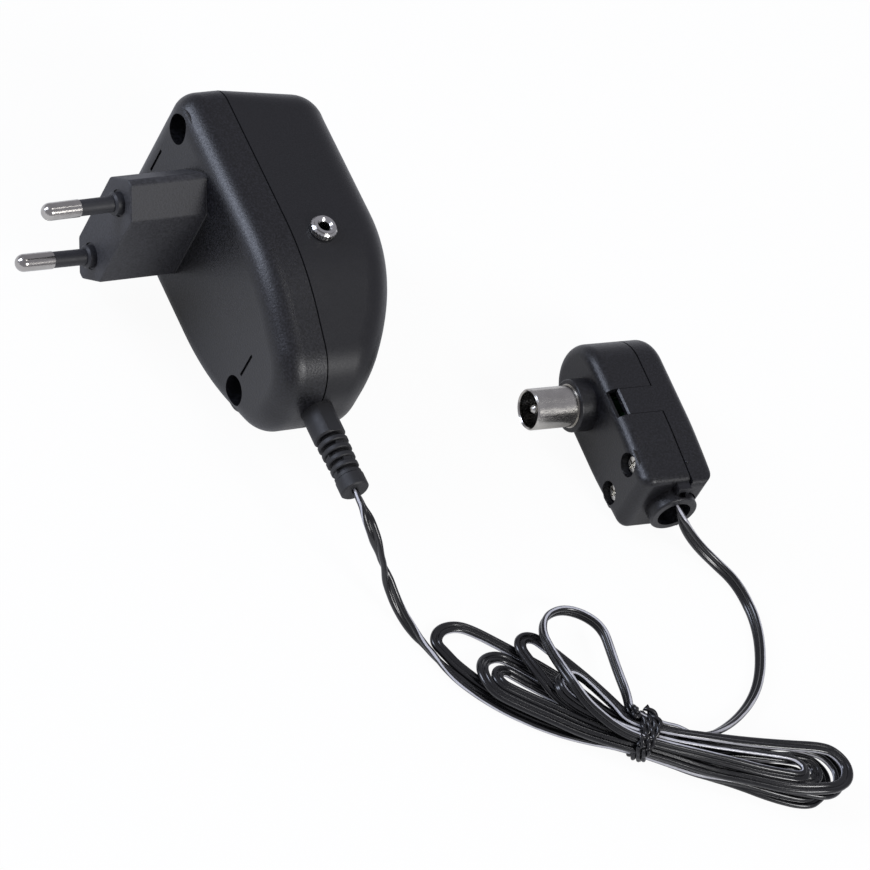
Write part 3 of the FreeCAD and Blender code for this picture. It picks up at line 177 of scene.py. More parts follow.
def waist_point(side, along, across, height):
    """Point given along and across the hank from its waist. Across is positive on the far side."""
    turn = math.radians(hank_left_turn if side == "left" else hank_right_turn)
    way = (math.cos(turn), math.sin(turn))
    far = (way[1], -way[0]) if side == "left" else (-way[1], way[0])
    return (hank_waist[0] + way[0] * along + far[0] * across,
            hank_waist[1] + way[1] * along + far[1] * across, hank_waist[2] + height)


def layer(number):
    """Height of a layer of the hank."""
    return cord_rest + hank_rise * number


def waist_stop(side, place):
    """Point at which the flex enters or leaves the waist at one of its places."""
    step, number = place
    return waist_point(side, hank_waist_reach, step * hank_pitch, layer(number) + hank_waist_lift)


def loop_points(side, first_place, last_place, size, layers):
    """Points of one loop from its first to its last place at the waist.

    The size is (lean, reach, half width, length of the round end, belly, sway, skew) and
    the layers are those of the loop's nine stations."""
    lean, reach, half, end_length, belly, sway, skew = size
    first, last = first_place[0] * hank_pitch, last_place[0] * hank_pitch
    out_side = 1 if first > last else -1
    neck = reach - end_length
    turn = math.radians(lean)
    middle = (first + last) / 2
    start_half = abs(first - last) / 2

    def place(u, v, number):
        along = u * math.cos(turn) - v * math.sin(turn)
        across = u * math.sin(turn) + v * math.cos(turn)
        return waist_point(side, along, across, layer(number))

    def centre(share):
        swayed = sway * math.sin(math.pi * loop_sway_wave * share)
        return middle * (1 - ease(share * loop_centring)) + swayed + skew * share * share

    def width(share):
        return start_half + (half - start_half) * ease(share) + belly * math.sin(math.pi * share)

    low = hank_waist_reach / neck
    shares = [low + (1 - low) * station for station in loop_stations]
    points = [waist_stop(side, first_place)]
    for share, number in zip(shares, layers[1:4]):
        points.append(place(share * neck, centre(share) + out_side * width(share), number))
    for degrees in loop_end_turns:
        angle = math.radians(degrees)
        blend = abs(degrees) / 90
        beside = layers[3] if degrees > 0 else layers[5]
        number = layers[4] + beside * blend - layers[4] * blend
        points.append(place(neck + end_length * loop_end_growth * math.cos(angle),
                            centre(1.0) + out_side * half * loop_end_growth * math.sin(angle), number))
    for share, number in zip(shares[::-1], layers[5:8]):
        points.append(place(share * neck, centre(share) - out_side * width(share), number))
    points.append(waist_stop(side, last_place))
    return points


# places at the waist in the order in which the flex passes it: (step across, layer)
waist_places = [(-1.5, 0), (1.5, 0), (-0.5, 0), (0.5, 0), (-1, 1), (2, 1), (0, 1), (1, 1), (-2, 1),
                (0.5, 2), (-0.5, 2), (-1.5, 2), (1.5, 2)]

# loops in turn, right and left: the size that `loop_points` takes, then one layer for the whole
# loop or the layers of its nine stations, of which the first and last lie at the waist
right_loops = [
    ((1.4, 46.0, 5.4, 6.2, 0.0, -0.6, 0.0), 0),
    ((-2.2, 41.5, 3.4, 4.4, 0.0, -0.6, 0.0), 0),
    ((0.2, 48.0, 5.5, 6.5, 0.0, 0.0, 0.0), 1),
    ((0.4, 42.5, 2.8, 3.1, 0.0, 0.0, 0.0), 1),
    ((1.4, 48.8, 5.2, 6.8, 0.0, -1.6, 0.0), (1, 1, 1.5, 2, 2, 2, 2, 2, 2)),
    ((-2.5, 38.4, 3.3, 4.3, 0.0, -0.8, 0.0), 2),
]
left_loops = [
    ((7.4, 50.2, 6.5, 7.5, 1.2, 0.0, 0.0), 0),
    ((2.0, 34.8, 3.2, 3.9, 0.2, 0.0, 0.0), (0, 0, 0, 0.3, 1, 1, 1, 1, 1)),
    ((24.5, 34.0, 3.0, 3.4, 1.8, -1.8, 0.0), 1),
    ((3.8, 38.5, 5.9, 6.2, 0.5, 0.0, 0.0), (1, 0.9, 0.1, 0.1, 0.6, 1, 1, 1, 1)),
    ((13.0, 22.4, 3.5, 4.4, 0.5, 0.0, 0.0), 2),
    ((38.2, 34.8, 8.5, 10.0, 1.0, -4.0, 3.6), (2, 2.9, 3.1, 2.4, 1.7, 1.6, 1.8, 2, 2)),
]


def hank_points():
    """Points of all the loops, right and left in turn."""
    points = []
    for i in range(len(right_loops)):
        halves = (("right", right_loops[i], 2 * i), ("left", left_loops[i], 2 * i + 1))
        for side, (size, layers), step in halves:
            levels = layers if isinstance(layers, tuple) else (layers,) * 9
            points += loop_points(side, waist_places[step], waist_places[step + 1], size, levels)
    return points


def unit_feed():
    """Points of the flex from the strain relief down to the table and to the hank."""
    rest = cord_rest
    return [(parting_x, relief_end, 0), (parting_x, relief_end - 3.7, 0), (31.8, -84.6, -2.4),
            (34.6, -88.5, -8.0), (37.4, -92.6, -13.9), (39.7, -97.7, -18.0),
            (42.4, -103.4, rest), (44.6, -110.0, rest), (47.8, -116.4, rest),
            (52.5, -122.4, rest), (58.6, -127.9, rest), (65.8, -133.0, rest),
            (73.0, -136.6, rest + 0.5), waist_stop("left", waist_places[0])]


def plug_feed():
    """Points of the flex from the hank along the table and up into the aerial plug."""
    rest = cord_rest
    return [waist_stop("right", waist_places[-1]),
            (90.5, -140.4, -15.2), (94.1, -142.1, -15.6), (99.1, -141.9, -16.8),
            (105.6, -139.8, -18.5), (111.7, -136.8, -19.6), (117.1, -133.1, rest),
            (121.3, -128.6, rest), (124.8, -122.7, rest), (127.5, -115.9, rest),
            (128.6, -109.0, -20), (127.3, -102.7, -19), (123.6, -98.0, -17.6),
            (119.4, -94.5, -15), (115.9, -91.7, -11.6),
            laid_point(plug_port_a, -34.0, plug_port_height),
            laid_point(plug_port_a, plug_end_b + plug_wall - plug_flex_stop, plug_port_height)]


# a sample between route points: the weights of the point before, the point and the next
sample_weights = [(0.5 * (1 - t) ** 2, 0.5 + t - t * t, 0.5 * t * t) for t in (0.0, 0.25, 0.5, 0.75)]


def sampled(places):
    """Samples (spot, route point, weights) along a route, and their numbers by cell of space."""
    samples = []
    cells = {}
    for i in range(1, len(places) - 1):
        for weights in sample_weights:
            spot = plus(plus(times(places[i - 1], weights[0]), times(places[i], weights[1])),
                        times(places[i + 1], weights[2]))
            cell = tuple(int(value // hank_gap) for value in spot)
            cells.setdefault(cell, []).append(len(samples))
            samples.append((spot, i, weights))
    return samples, cells


def nearby(cells, cell):
    """Numbers of the samples in a cell and in the cells round it."""
    found = []
    for dx in (-1, 0, 1):
        for dy in (-1, 0, 1):
            for dz in (-1, 0, 1):
                found += cells.get((cell[0] + dx, cell[1] + dy, cell[2] + dz), [])
    return found


def push_apart(first, second, moves):
    """Share the push between two samples that are too near among their route points."""
    between = plus(first[0], times(second[0], -1))
    distance = math.sqrt(sum(value * value for value in between))
    if distance >= hank_gap or distance < 1e-6:
        return
    push = times(between, hank_push * (hank_gap - distance) / distance)
    for k in range(3):
        moves[first[1] - 1 + k] = plus(moves[first[1] - 1 + k], times(push, first[2][k]))
        moves[second[1] - 1 + k] = plus(moves[second[1] - 1 + k], times(push, -second[2][k]))


def pushes(samples, cells, count):
    """Move of each of a number of route points, from all the samples that are too near."""
    moves = [(0.0, 0.0, 0.0)] * count
    for cell, members in cells.items():
        near = nearby(cells, cell)
        for first in members:
            for second in near:
                points_apart = abs(samples[first][1] - samples[second][1])
                if second > first and points_apart > hank_own_points:
                    push_apart(samples[first], samples[second], moves)
    return moves


def settled(points):
    """The route after strands nearer than the hank's gap have pushed each other apart. Of the
    two feeds only the points next to the hank move."""
    places = list(points)
    free = range(len(unit_feed()) - hank_feed_points,
                 len(points) - len(plug_feed()) + hank_feed_points)
    for _ in range(hank_rounds):
        samples, cells = sampled(places)
        moves = pushes(samples, cells, len(places))
        for i in free:
            step = tuple(max(-hank_longest_step, min(hank_longest_step, part)) for part in moves[i])
            back = times(plus(points[i], times(places[i], -1)), hank_pull_back)
            moved = plus(plus(places[i], step), back)
            places[i] = (moved[0], moved[1], max(moved[2], cord_rest))
    return places


def hank_ways():
    """Unit vectors along and across the hank at its waist."""
    turn = math.radians((hank_left_turn - 180 + hank_right_turn) / 2)
    way = (math.cos(turn), math.sin(turn), 0)
    return way, (-way[1], way[0], 0)


def drawn_in(points, loose):
    """The route with its strands drawn closer together under the tie. The last points, as many
    as `loose` says, stay where they are."""
    way, far = hank_ways()
    drawn = []
    for point in points[:len(points) - loose]:
        x, y = point[0] - hank_waist[0], point[1] - hank_waist[1]
        along, across = x * way[0] + y * way[1], x * far[0] + y * far[1]
        distance = math.hypot(x, y)
        near = 1 - ease(distance / waist_reach_left)
        hold = near
        if along > 0:
            ease_off = waist_near_ease if across < waist_near_side * distance else 1.0
            hold = 1 - ease_off * ease(distance / waist_reach_right)
        shift = across * (waist_width_share - 1) * hold
        height = (point[2] + case_half) * (1 + (waist_height_share - 1) * near)
        drawn.append((point[0] + far[0] * shift, point[1] + far[1] * shift, height - case_half))
    return drawn + points[len(points) - loose:]


def tie_points():
    """Points of the twist tie: an end, turns round the waist, and the other end."""
    turns = []
    count = len(tie_section)
    for i in range(tie_turns * count + 1):
        across, height = tie_section[i % count]
        fan = tie_fan_least + tie_fan_rate * (across + tie_half_width)
        turns.append((tie_pitch * fan * (i / count - tie_turns / 2), across, height))
    way, far = hank_ways()
    points = []
    for along, across, height in tie_first_end + turns + tie_last_end:
        level = plus(times(way, along), times(far, across))
        points.append(plus(plus(hank_waist, level), (0, 0, height - case_half)))
    return points


# mesh helpers

def linked(name, mesh):
    """A new object for a mesh in the scene."""
    piece = bpy.data.objects.new(name, mesh)
    bpy.context.scene.collection.objects.link(piece)
    return piece


def smooth_line(name, points):
    """Points along the NURBS spline of a route's points, without doubled ones."""
    curve = bpy.data.curves.new(name, "CURVE")
    curve.dimensions = "3D"
    spline = curve.splines.new("NURBS")
    spline.points.add(len(points) - 1)
    for knot, point in zip(spline.points, points):
        knot.co = (*placed(point), 1.0)
    spline.order_u = 3
    spline.use_endpoint_u = True
    spline.resolution_u = line_steps
    holder = bpy.data.objects.new(name, curve)
    mesh = bpy.data.meshes.new_from_object(holder)
    line = []
    for vertex in mesh.vertices:
        if not line or (vertex.co - line[-1]).length > least_step * MM:
            line.append(vertex.co.copy())
    bpy.data.meshes.remove(mesh)
    bpy.data.objects.remove(holder)
    bpy.data.curves.remove(curve)
    return line


def running_lengths(line):
    """Length along a line up to each of its points."""
    lengths = [0.0]
    for before, after in zip(line, line[1:]):
        lengths.append(lengths[-1] + (after - before).length)
    return lengths


def keyed(keys, place):
    """Value at a place on a smooth line through (place, value) keys."""
    if place <= keys[0][0]:
        return keys[0][1]
    for (x0, y0), (x1, y1) in zip(keys, keys[1:]):
        if place <= x1:
            return y0 + (y1 - y0) * ease((place - x0) / (x1 - x0))
    return keys[-1][1]


def section_rings(line, lengths, section, turn_at):
    """Corners of a section at each point of a line, turned and lifted clear of the table."""
    rings = []
    up = Vector((0, 0, 1))
    for i, spot in enumerate(line):
        way = (line[min(i + 1, len(line) - 1)] - line[max(i - 1, 0)]).normalized()
        level = Vector((0, 0, 1)) - way * way.z
        carried = up - way * up.dot(way)
        steep = ease((abs(way.z) - steep_slope) / steep_range)
        up = (level.normalized() * (1 - steep) + carried.normalized() * steep).normalized()
        side = way.cross(up)
        turn = turn_at(lengths[i])
        across_way = side * math.cos(turn) + up * math.sin(turn)
        up_way = up * math.cos(turn) - side * math.sin(turn)
        ring = [spot + across_way * (a * MM) + up_way * (h * MM) for a, h, u in section]
        lift = Vector((0, 0, max(0.0, table_clearance * MM - min(corner.z for corner in ring))))
        rings.append([corner + lift for corner in ring])
    return rings


def swept(name, line, section, turn_at):
    """Piece made by carrying a section along a line. The section is (across, up, u) points and
    turn_at gives its turn in radians at a length along the line."""
    lengths = running_lengths(line)
    count = len(section)
    bm = bmesh.new()
    uv_layer = bm.loops.layers.uv.new("along")
    rings = [[bm.verts.new(corner) for corner in ring]
             for ring in section_rings(line, lengths, section, turn_at)]
    for i in range(len(rings) - 1):
        for k in range(count):
            n = (k + 1) % count
            face = bm.faces.new((rings[i][k], rings[i][n], rings[i + 1][n], rings[i + 1][k]))
            face.smooth = True
            this_u = section[k][2]
            next_u = section[n][2] if n else 1.0
            uvs = [(this_u, lengths[i]), (next_u, lengths[i]), (next_u, lengths[i + 1]),
                   (this_u, lengths[i + 1])]
            for loop, uv in zip(face.loops, uvs):
                loop[uv_layer].uv = uv
    bm.faces.new(list(reversed(rings[0])))
    bm.faces.new(rings[-1])
    bmesh.ops.recalc_face_normals(bm, faces=bm.faces)
    mesh = bpy.data.meshes.new(name)
    bm.to_mesh(mesh)
    bm.free()
    return linked(name, mesh)


# materials: colours are linear, and depths of bump are in metres

slight_bump = 0.00002

# scales of noise, in cells to the metre
wear_scale = 55.0
line_wander_scale = 260.0
metal_cloud_scale = 300.0
flex_haze_scale = 500.0
plastic_cloud_scale = 600.0
mark_scale = 900.0
pit_scale = 1700.0

# range that noise mostly keeps to, and how far it moves the roughness of two kinds of plastic
noise_low = 0.3
noise_high = 0.7
moulded_play = 0.07
smooth_play = 0.05

# share of a colour that is left in the darker clouds
metal_dark = 0.8
smooth_dark = 0.88

# colours of the plug block's coarse texture
block_dark = (0.016, 0.016, 0.018)
block_light = (0.036, 0.036, 0.04)

# pale line on the flex: where it begins to fade and where it ends on each side of its middle,
# as shares of the way round, and how far these wander
line_edges = (0.024, 0.038)
line_wander = 0.008


def tree_of(name):
    """A new material with its node tree and its shader."""
    material = bpy.data.materials.new(name)
    material.use_nodes = True
    tree = material.node_tree
    return material, tree, tree.nodes["Principled BSDF"]


def feed(tree, socket, value):
    """Link a source to a socket, or give the socket a plain value."""
    if isinstance(value, bpy.types.NodeSocket):
        tree.links.new(value, socket)
    else:
        socket.default_value = value


def added(tree, kind, values, **settings):
    """A new shader node with its settings, and with values or sources on its inputs."""
    node = tree.nodes.new("ShaderNode" + kind)
    for setting, value in settings.items():
        setattr(node, setting, value)
    for label, value in values.items():
        feed(tree, node.inputs[label], value)
    return node


def own_place(tree):
    """The object's own coordinates."""
    return added(tree, "TexCoord", {}).outputs["Object"]


def first_part(tree, source):
    """The first of a vector's three values."""
    return added(tree, "SeparateXYZ", {"Vector": source}).outputs["X"]


def worked_out(tree, operation, *values):
    """Result of a maths operation on sources and numbers."""
    return added(tree, "Math", dict(enumerate(values)), operation=operation).outputs[0]


def noise(tree, scale, detail=3.0, rough=0.5, place=None):
    """Noise over the object's own coordinates, or over a given place."""
    if place is None:
        place = own_place(tree)
    return added(tree, "TexNoise", {"Scale": scale, "Detail": detail, "Roughness": rough,
                                    "Vector": place}).outputs["Fac"]


def ramp(tree, source, stops):
    """Colour ramp with (place, colour) stops."""
    node = added(tree, "ValToRGB", {"Fac": source})
    for element, (place, colour) in zip(node.color_ramp.elements, stops):
        element.position = place
        element.color = (*colour, 1)
    return node.outputs["Color"]


def spread(tree, source, low, high, out_low=0.0, out_high=1.0):
    """A value moved from one range to another."""
    return added(tree, "MapRange", {"Value": source, "From Min": low, "From Max": high,
                                    "To Min": out_low, "To Max": out_high}).outputs["Result"]


def noise_between(tree, source, low, high):
    """Noise as a value that keeps mostly between two others."""
    return spread(tree, source, noise_low, noise_high, low, high)


def mixed(tree, share, first, second):
    """Value or colour between two sources, by a share."""
    node = added(tree, "Mix", {"Factor": share, "A": first, "B": second}, data_type="RGBA")
    return node.outputs["Result"]


def behind(tree, edge, width):
    """1 where the object lies further towards the mains pins than an edge, else 0."""
    return spread(tree, first_part(tree, own_place(tree)), edge, edge - width)


# effects that more than one material uses, as node groups that put out a colour, a roughness
# and a height for the bump

def effect(name, colours, others):
    """A new group with inputs for its colours, for the others named, and for its least and most
    roughness. Returns the group, the sources of its inputs and the sockets of its outputs."""
    group = bpy.data.node_groups.new(name, "ShaderNodeTree")
    inputs = [(label, "NodeSocketColor") for label in colours]
    inputs += others + [("Low Roughness", "NodeSocketFloat"), ("High Roughness", "NodeSocketFloat")]
    for label, kind in inputs:
        group.interface.new_socket(name=label, in_out="INPUT", socket_type=kind)
    outputs = [("Colour", "NodeSocketColor"), ("Roughness", "NodeSocketFloat"),
               ("Height", "NodeSocketFloat")]
    for label, kind in outputs:
        group.interface.new_socket(name=label, in_out="OUTPUT", socket_type=kind)
    given = group.nodes.new("NodeGroupInput").outputs
    out = group.nodes.new("NodeGroupOutput").inputs
    return group, given, out


def put_out(group, given, out, colour, noisy):
    """Feed a group's outputs with its colour and with the noise of its roughness and height."""
    feed(group, out["Colour"], colour)
    shine = noise_between(group, noisy, given["Low Roughness"], given["High Roughness"])
    feed(group, out["Roughness"], shine)
    feed(group, out["Height"], noisy)


def eroded_grain():
    """Fine grain of a spark-eroded mould, worn a little in broad patches."""
    group, given, out = effect("eroded_grain", ("Base", "Light"), [("Grain Scale", "NodeSocketFloat")])
    fine = noise(group, given["Grain Scale"], 2.0, 0.6)
    wear = spread(group, noise(group, wear_scale), 0.3, 0.75, 0.0, 0.35)
    crisp = mixed(group, spread(group, fine, 0.42, 0.66), given["Base"], given["Light"])
    soft = mixed(group, spread(group, fine, 0.3, 0.7), given["Base"], given["Light"])
    put_out(group, given, out, mixed(group, wear, crisp, soft), fine)
    return group


def plating_marks():
    """Marks of a plated or drawn metal. They are streaks where their scale differs by axis."""
    group, given, out = effect("plating_marks", ("Dark", "Light"), [("Streak Scale", "NodeSocketVector")])
    mapping = added(group, "Mapping", {"Vector": own_place(group), "Scale": given["Streak Scale"]})
    marks = noise(group, mark_scale, 3.0, 0.6, mapping.outputs["Vector"])
    cloud = spread(group, noise(group, metal_cloud_scale), 0.3, 0.7)
    put_out(group, given, out, mixed(group, cloud, given["Dark"], given["Light"]), marks)
    return group


def soft_clouds():
    """Slight clouds in the colour and shine of a smooth material."""
    group, given, out = effect("soft_clouds", ("Dark", "Light"), [("Cloud Scale", "NodeSocketFloat")])
    cloud = noise(group, given["Cloud Scale"])
    share = spread(group, cloud, 0.35, 0.65)
    put_out(group, given, out, mixed(group, share, given["Dark"], given["Light"]), cloud)
    return group


eroded_grain_effect = eroded_grain()
plating_marks_effect = plating_marks()
soft_clouds_effect = soft_clouds()


def from_effect(tree, group, values):
    """Colour, roughness and height from an effect, placed in a material with its own values."""
    outputs = added(tree, "Group", values, node_tree=group).outputs
    return outputs["Colour"], outputs["Roughness"], outputs["Height"]


def surfaced(tree, shader, colour, shine, height, strength, depth):
    """Feed a shader's colour, roughness and bump."""
    feed(tree, shader.inputs["Base Color"], colour)
    feed(tree, shader.inputs["Roughness"], shine)
    bump = added(tree, "Bump", {"Strength": strength, "Distance": depth, "Height": height})
    feed(tree, shader.inputs["Normal"], bump.outputs["Normal"])


def spark_plastic(name, base, light, grain, depth, rough, coarse_edge=None):
    """Plastic from a spark-eroded mould. Behind the coarse edge, where one is given, it is
    lighter, duller and more coarsely eroded."""
    material, tree, shader = tree_of(name)
    colour, shine, height = from_effect(tree, eroded_grain_effect, {
        "Base": (*base, 1), "Light": (*light, 1), "Grain Scale": grain,
        "Low Roughness": rough - moulded_play, "High Roughness": rough + moulded_play})
    if coarse_edge is not None:
        on_block = behind(tree, coarse_edge, coarse_soft_edge * MM)
        pits = noise(tree, pit_scale, 2.0, 0.7)
        pitted = ramp(tree, pits, [(0.35, block_dark), (0.62, block_light)])
        colour = mixed(tree, on_block, colour, pitted)
        shine = mixed(tree, on_block, shine, noise_between(tree, pits, 0.5, 0.62))
    surfaced(tree, shader, colour, shine, height, 0.55, depth)
    return material


def metal(name, colour, rough, streak_scale=(1, 1, 1), streak=0.1):
    """Plated or drawn metal. The streak is how far its marks move its roughness."""
    material, tree, shader = tree_of(name)
    shader.inputs["Metallic"].default_value = 1.0
    surface = from_effect(tree, plating_marks_effect, {
        "Dark": (*times(colour, metal_dark), 1), "Light": (*colour, 1), "Streak Scale": streak_scale,
        "Low Roughness": max(0.03, rough - streak), "High Roughness": rough + streak})
    surfaced(tree, shader, *surface, 0.15, slight_bump)
    return material


def smooth(name, colour, rough, clouds=plastic_cloud_scale, depth=slight_bump):
    """Smooth plastic, vinyl, board or coating."""
    material, tree, shader = tree_of(name)
    surface = from_effect(tree, soft_clouds_effect, {
        "Dark": (*times(colour, smooth_dark), 1), "Light": (*colour, 1), "Cloud Scale": clouds,
        "Low Roughness": rough - smooth_play, "High Roughness": rough + smooth_play})
    surfaced(tree, shader, *surface, 0.2, depth)
    return material


def flex_vinyl():
    """Glossy black vinyl with a pale line printed along one conductor's outer edge."""
    material, tree, shader = tree_of("flex_vinyl")
    pale = (0.5, 0.5, 0.53)
    black = (0.003, 0.003, 0.0035)
    round_share = first_part(tree, added(tree, "UVMap", {}, uv_map="along").outputs["UV"])
    away = worked_out(tree, "ABSOLUTE", worked_out(tree, "SUBTRACT", round_share, strand_middles[0]))
    wander = noise_between(tree, noise(tree, line_wander_scale, 2.0), -line_wander, line_wander)
    edge = worked_out(tree, "ADD", away, wander)
    colour = ramp(tree, edge, [(line_edges[0], pale), (line_edges[1], black)])
    _, shine, height = from_effect(tree, soft_clouds_effect, {
        "Cloud Scale": flex_haze_scale, "Low Roughness": 0.22, "High Roughness": 0.28})
    surfaced(tree, shader, colour, shine, height, 0.05, slight_bump)
    shader.inputs["Specular IOR Level"].default_value = 0.42
    shader.inputs["Coat Weight"].default_value = 0.4
    shader.inputs["Coat Roughness"].default_value = 0.15
    return material


coarse_edge_in_frame = (coarse_end_x + frame_shift[0]) * MM
case_back = spark_plastic("spark_black_plastic", (0.0015, 0.0015, 0.002), (0.011, 0.011, 0.014),
                          grain=2200.0, depth=0.0001, rough=0.4, coarse_edge=coarse_edge_in_frame)
case_front = spark_plastic("satin_black_plastic", (0.004, 0.004, 0.005), (0.008, 0.008, 0.0095),
                           grain=3000.0, depth=0.00004, rough=0.42)
materials = {
    "textured_black_plastic": case_back,
    "smooth_black_plastic": case_front,
    "plated_pin_metal": metal("plated_pin_metal", (0.5, 0.48, 0.45), 0.17, streak_scale=(1, 6, 6),
                              streak=0.03),
    "sleeve_plastic": smooth("sleeve_plastic", (0.02, 0.02, 0.023), 0.52),
    "brass": metal("brass", (0.78, 0.6, 0.3), 0.28),
    "zinc_screw_steel": metal("zinc_screw_steel", (0.75, 0.73, 0.68), 0.25),
    "lamination_steel": metal("lamination_steel", (0.2, 0.2, 0.22), 0.5, streak_scale=(60, 1, 1)),
    "white_nylon": smooth("white_nylon", (0.75, 0.74, 0.68), 0.45),
    "enamelled_copper": metal("enamelled_copper", (0.65, 0.28, 0.12), 0.3, streak_scale=(1, 8, 1)),
    "white_gloss_case": smooth("white_gloss_case", (0.8, 0.79, 0.74), 0.3),
    "lead_insulation_red": smooth("lead_insulation_red", (0.4, 0.03, 0.02), 0.4),
    "lead_insulation_blue": smooth("lead_insulation_blue", (0.03, 0.07, 0.35), 0.4),
    "lead_insulation_black": smooth("lead_insulation_black", (0.012, 0.012, 0.012), 0.4),
    "board_laminate": smooth("board_laminate", (0.04, 0.2, 0.07), 0.35),
    "black_component_case": smooth("black_component_case", (0.02, 0.02, 0.02), 0.5),
    "capacitor_sleeve": smooth("capacitor_sleeve", (0.02, 0.04, 0.16), 0.3),
    "socket_plastic": smooth("socket_plastic", (0.01, 0.01, 0.01), 0.45),
    "nickel": metal("nickel", (0.62, 0.61, 0.59), 0.2),
    "dull_nickel": metal("dull_nickel", (0.55, 0.53, 0.49), 0.22, streak_scale=(1, 10, 10),
                         streak=0.09),
    "tinned_plate": metal("tinned_plate", (0.7, 0.7, 0.7), 0.35),
    "capacitor_disc": smooth("capacitor_disc", (0.5, 0.2, 0.05), 0.35),
    "ferrite": smooth("ferrite", (0.06, 0.06, 0.065), 0.5),
    "flexible_black_vinyl": smooth("flexible_black_vinyl", (0.012, 0.012, 0.013), 0.58),
    "flex_vinyl": flex_vinyl(),
    "tie_vinyl": smooth("tie_vinyl", (0.008, 0.008, 0.009), 0.25, clouds=900.0, depth=0.00004),
}


def dress(piece, material):
    """Give a piece one material on all its faces."""
    piece.data.materials.clear()
    piece.data.materials.append(material)


slot_of = {part["node"]: part["material_slot"] for part in frame["record"]["subparts"]}
for name, piece in nodes.items():
    dress(piece, materials[slot_of[name]])


# twin flex

def twin_section(offset, radius):
    """Outline of two round strands side by side that touch along a web, as (across, up, u)."""
    outline = []
    for side, middle in zip((1, -1), strand_middles):
        for i in range(strand_steps + 1):
            degrees = -strand_arc / 2 + strand_arc * i / strand_steps
            angle = math.radians(degrees if side > 0 else degrees + 180)
            across = side * offset + radius * math.cos(angle)
            up = radius * math.sin(angle)
            outline.append((across, up, middle + strand_reach * (-1 + 2 * i / strand_steps)))
    return outline


route = drawn_in(settled(unit_feed() + hank_points() + plug_feed()), len(plug_feed()) - 1)
flex_line = smooth_line("flex_line", route)
flex_length = running_lengths(flex_line)[-1]

# turns of the flex in degrees: (length in metres, turn) as it leaves the unit, then one turn for
# each pass through the waist and one for the middle of each loop, then (share, turn) on the way
# to the plug
feed_turns = [(0.0, 55), (0.003, 45), (0.009, -35), (0.017, -125), (0.025, -215), (0.033, -245),
              (0.041, -300), (0.052, -345), (0.066, -360)]
pass_turns = (-350, -190, -180, -180, -190, -180, -180, -180, -190, -210, -290, -280, -270)
loop_turns = (-190, -180, -180, -180, -190, -180, -180, -180, -180, -250, -320, -268)
plug_turns = [(0.3, -300), (0.6, -296), (0.85, -290), (1.0, -235)]


def flex_keys():
    """(length, turn) of the flex along its whole route."""
    spans = running_lengths([placed(point) for point in route])
    scale = flex_length / spans[-1]
    start = len(unit_feed())
    step = len(hank_points()) // len(loop_turns)
    keys = list(feed_turns)
    for i, turn in enumerate(pass_turns):
        spot = start + i * step
        keys.append((scale * (spans[spot - 1] + spans[spot]) / 2, turn))
        if i < len(loop_turns):
            keys.append((scale * spans[spot + step // 2], loop_turns[i]))
    last = keys[-1][0]
    return keys + [(last + (flex_length - last) * share, turn) for share, turn in plug_turns]


flex_turn_keys = flex_keys()


def flex_turn(length):
    """Turn of the twin flex at a length along it."""
    return math.radians(keyed(flex_turn_keys, length))


flex_section = twin_section(flex_conductor_offset, flex_conductor_radius)
flex = swept("twin_flex", flex_line, flex_section, flex_turn)
dress(flex, materials["flex_vinyl"])


# twist tie

def tie_turn(length):
    """Turn of the twisted tie at a length along it."""
    return 2 * math.pi * length / tie_twist


tie_line = smooth_line("tie_line", tie_points())
tie_outline = twin_section(tie_strand_offset, tie_strand_radius)
tie = swept("twist_tie_wrap", tie_line, tie_outline, tie_turn)
dress(tie, materials["tie_vinyl"])
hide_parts("twist_tie")
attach(tie, "supply_and_plug")

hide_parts("cord_from_unit", "cord_hank", "cord_to_plug")
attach(flex, "supply_and_plug")


# camera as solved from the photograph: its width, focal length and shift are in pixels

photo_width = 870
focal_length = 5691.5
photo_shift = -3
camera_place = (-0.65407, -0.60276, 0.92774)
camera_turns = (39.2234, -21.4156, -24.9566)

camera_data = bpy.data.cameras.new("camera")
camera_data.sensor_width = 36.0
camera_data.lens = camera_data.sensor_width * focal_length / photo_width
camera_data.shift_x = photo_shift / photo_width
camera_data.clip_end = 20.0
camera = bpy.data.objects.new("camera", camera_data)
camera.location = camera_place
camera.rotation_euler = [math.radians(angle) for angle in camera_turns]
bpy.context.scene.collection.objects.link(camera)
bpy.context.scene.camera = camera


# floor and light

white = (1, 1, 1, 1)
world_light = (0.88, 0.88, 1.0, 1)
world_strength = 0.42
lamp_aim = (0, 0, 0.02)

# floor: its colour under light, how white it shows to the camera and in reflections, and half
# its width
floor_grey = (0.88, 0.88, 0.88, 1)
floor_shown = 0.95
floor_mirrored = 0.25
floor_reach = 3.0


def mixed_shader(tree, share, first, second):
    """A shader between two others, by a share."""
    return added(tree, "MixShader", {0: share, 1: first, 2: second}).outputs["Shader"]


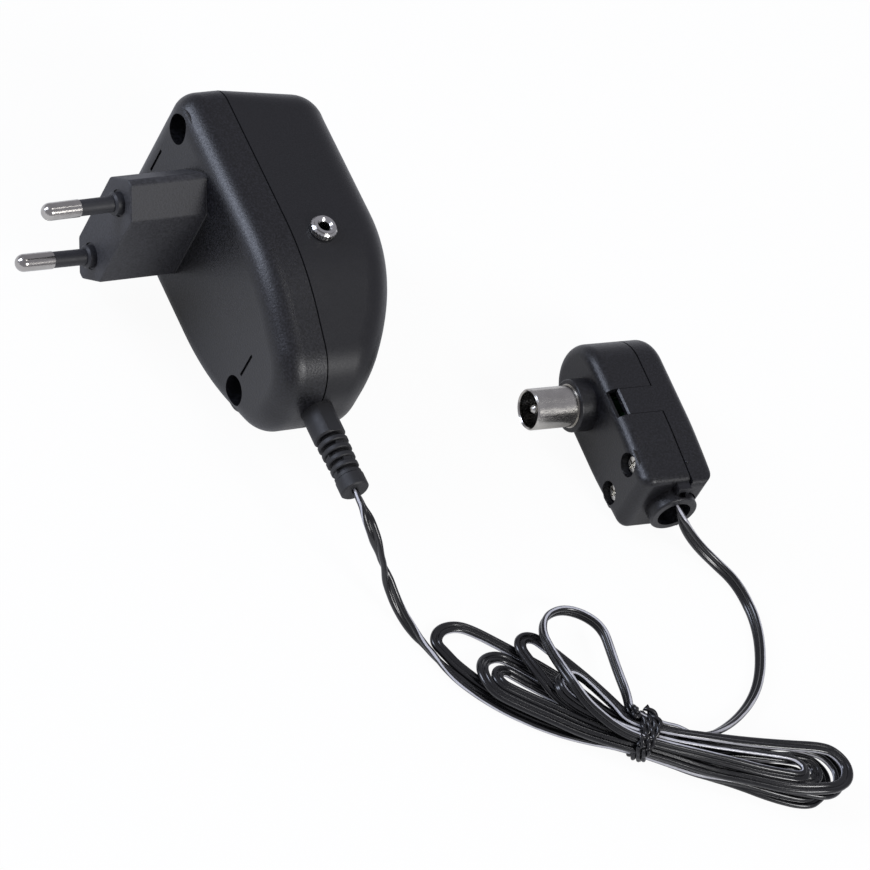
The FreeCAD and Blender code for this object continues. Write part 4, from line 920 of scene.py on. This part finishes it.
def shown_white(tree, colour, shown, mirrored):
    """A shader that is lit plainly but shows partly as white to the camera and in reflections."""
    lit = added(tree, "BsdfDiffuse", {"Color": colour}).outputs["BSDF"]
    glow = added(tree, "Emission", {"Color": white, "Strength": 1.0}).outputs["Emission"]
    path = added(tree, "LightPath", {}).outputs
    to_camera = worked_out(tree, "MULTIPLY", path["Is Camera Ray"], shown)
    to_mirror = worked_out(tree, "MULTIPLY", path["Is Glossy Ray"], mirrored)
    return mixed_shader(tree, worked_out(tree, "MAXIMUM", to_camera, to_mirror), lit, glow)


def white_floor():
    """Large pale floor under the part."""
    mesh = bpy.data.meshes.new("floor")
    ways = ((-1, -1), (1, -1), (1, 1), (-1, 1))
    corners = [(x * floor_reach, y * floor_reach, 0) for x, y in ways]
    mesh.from_pydata(corners, [], [(0, 1, 2, 3)])
    floor = linked("floor", mesh)
    material, tree, shader = tree_of("floor_white")
    tree.nodes.remove(shader)
    surface = tree.nodes["Material Output"].inputs["Surface"]
    feed(tree, surface, shown_white(tree, floor_grey, floor_shown, floor_mirrored))
    mesh.materials.append(material)


def soft_lamp(name, place, width, height, power, colour=(1, 1, 1)):
    """Rectangular soft lamp turned towards the part. Its power is in watts."""
    data = bpy.data.lights.new(name, "AREA")
    data.shape = "RECTANGLE"
    data.size = width
    data.size_y = height
    data.energy = power
    data.color = colour
    lamp = bpy.data.objects.new(name, data)
    lamp.location = place
    lamp.rotation_euler = (Vector(lamp_aim) - Vector(place)).to_track_quat("-Z", "Y").to_euler()
    bpy.context.scene.collection.objects.link(lamp)


def surroundings():
    """World that is white to the camera and gives a softer, slightly blue light."""
    world = bpy.data.worlds.new("studio")
    bpy.context.scene.world = world
    world.use_nodes = True
    tree = world.node_tree
    light = tree.nodes["Background"]
    light.inputs["Color"].default_value = world_light
    light.inputs["Strength"].default_value = world_strength
    bright = added(tree, "Background", {"Color": white, "Strength": 1.0})
    to_camera = added(tree, "LightPath", {}).outputs["Is Camera Ray"]
    shown = mixed_shader(tree, to_camera, light.outputs[0], bright.outputs[0])
    feed(tree, tree.nodes["World Output"].inputs["Surface"], shown)


white_floor()
surroundings()
soft_lamp("window_lamp", (-0.95, 0.6, 0.7), width=0.5, height=0.75, power=11.5,
          colour=(0.75, 0.82, 1.0))
soft_lamp("over_lamp", (0.35, -0.05, 1.25), width=0.22, height=0.22, power=0.9)
soft_lamp("front_lamp", (0.25, -0.95, 0.69), width=0.36, height=0.36, power=6.6)

bpy.context.scene.view_settings.view_transform = "Standard"
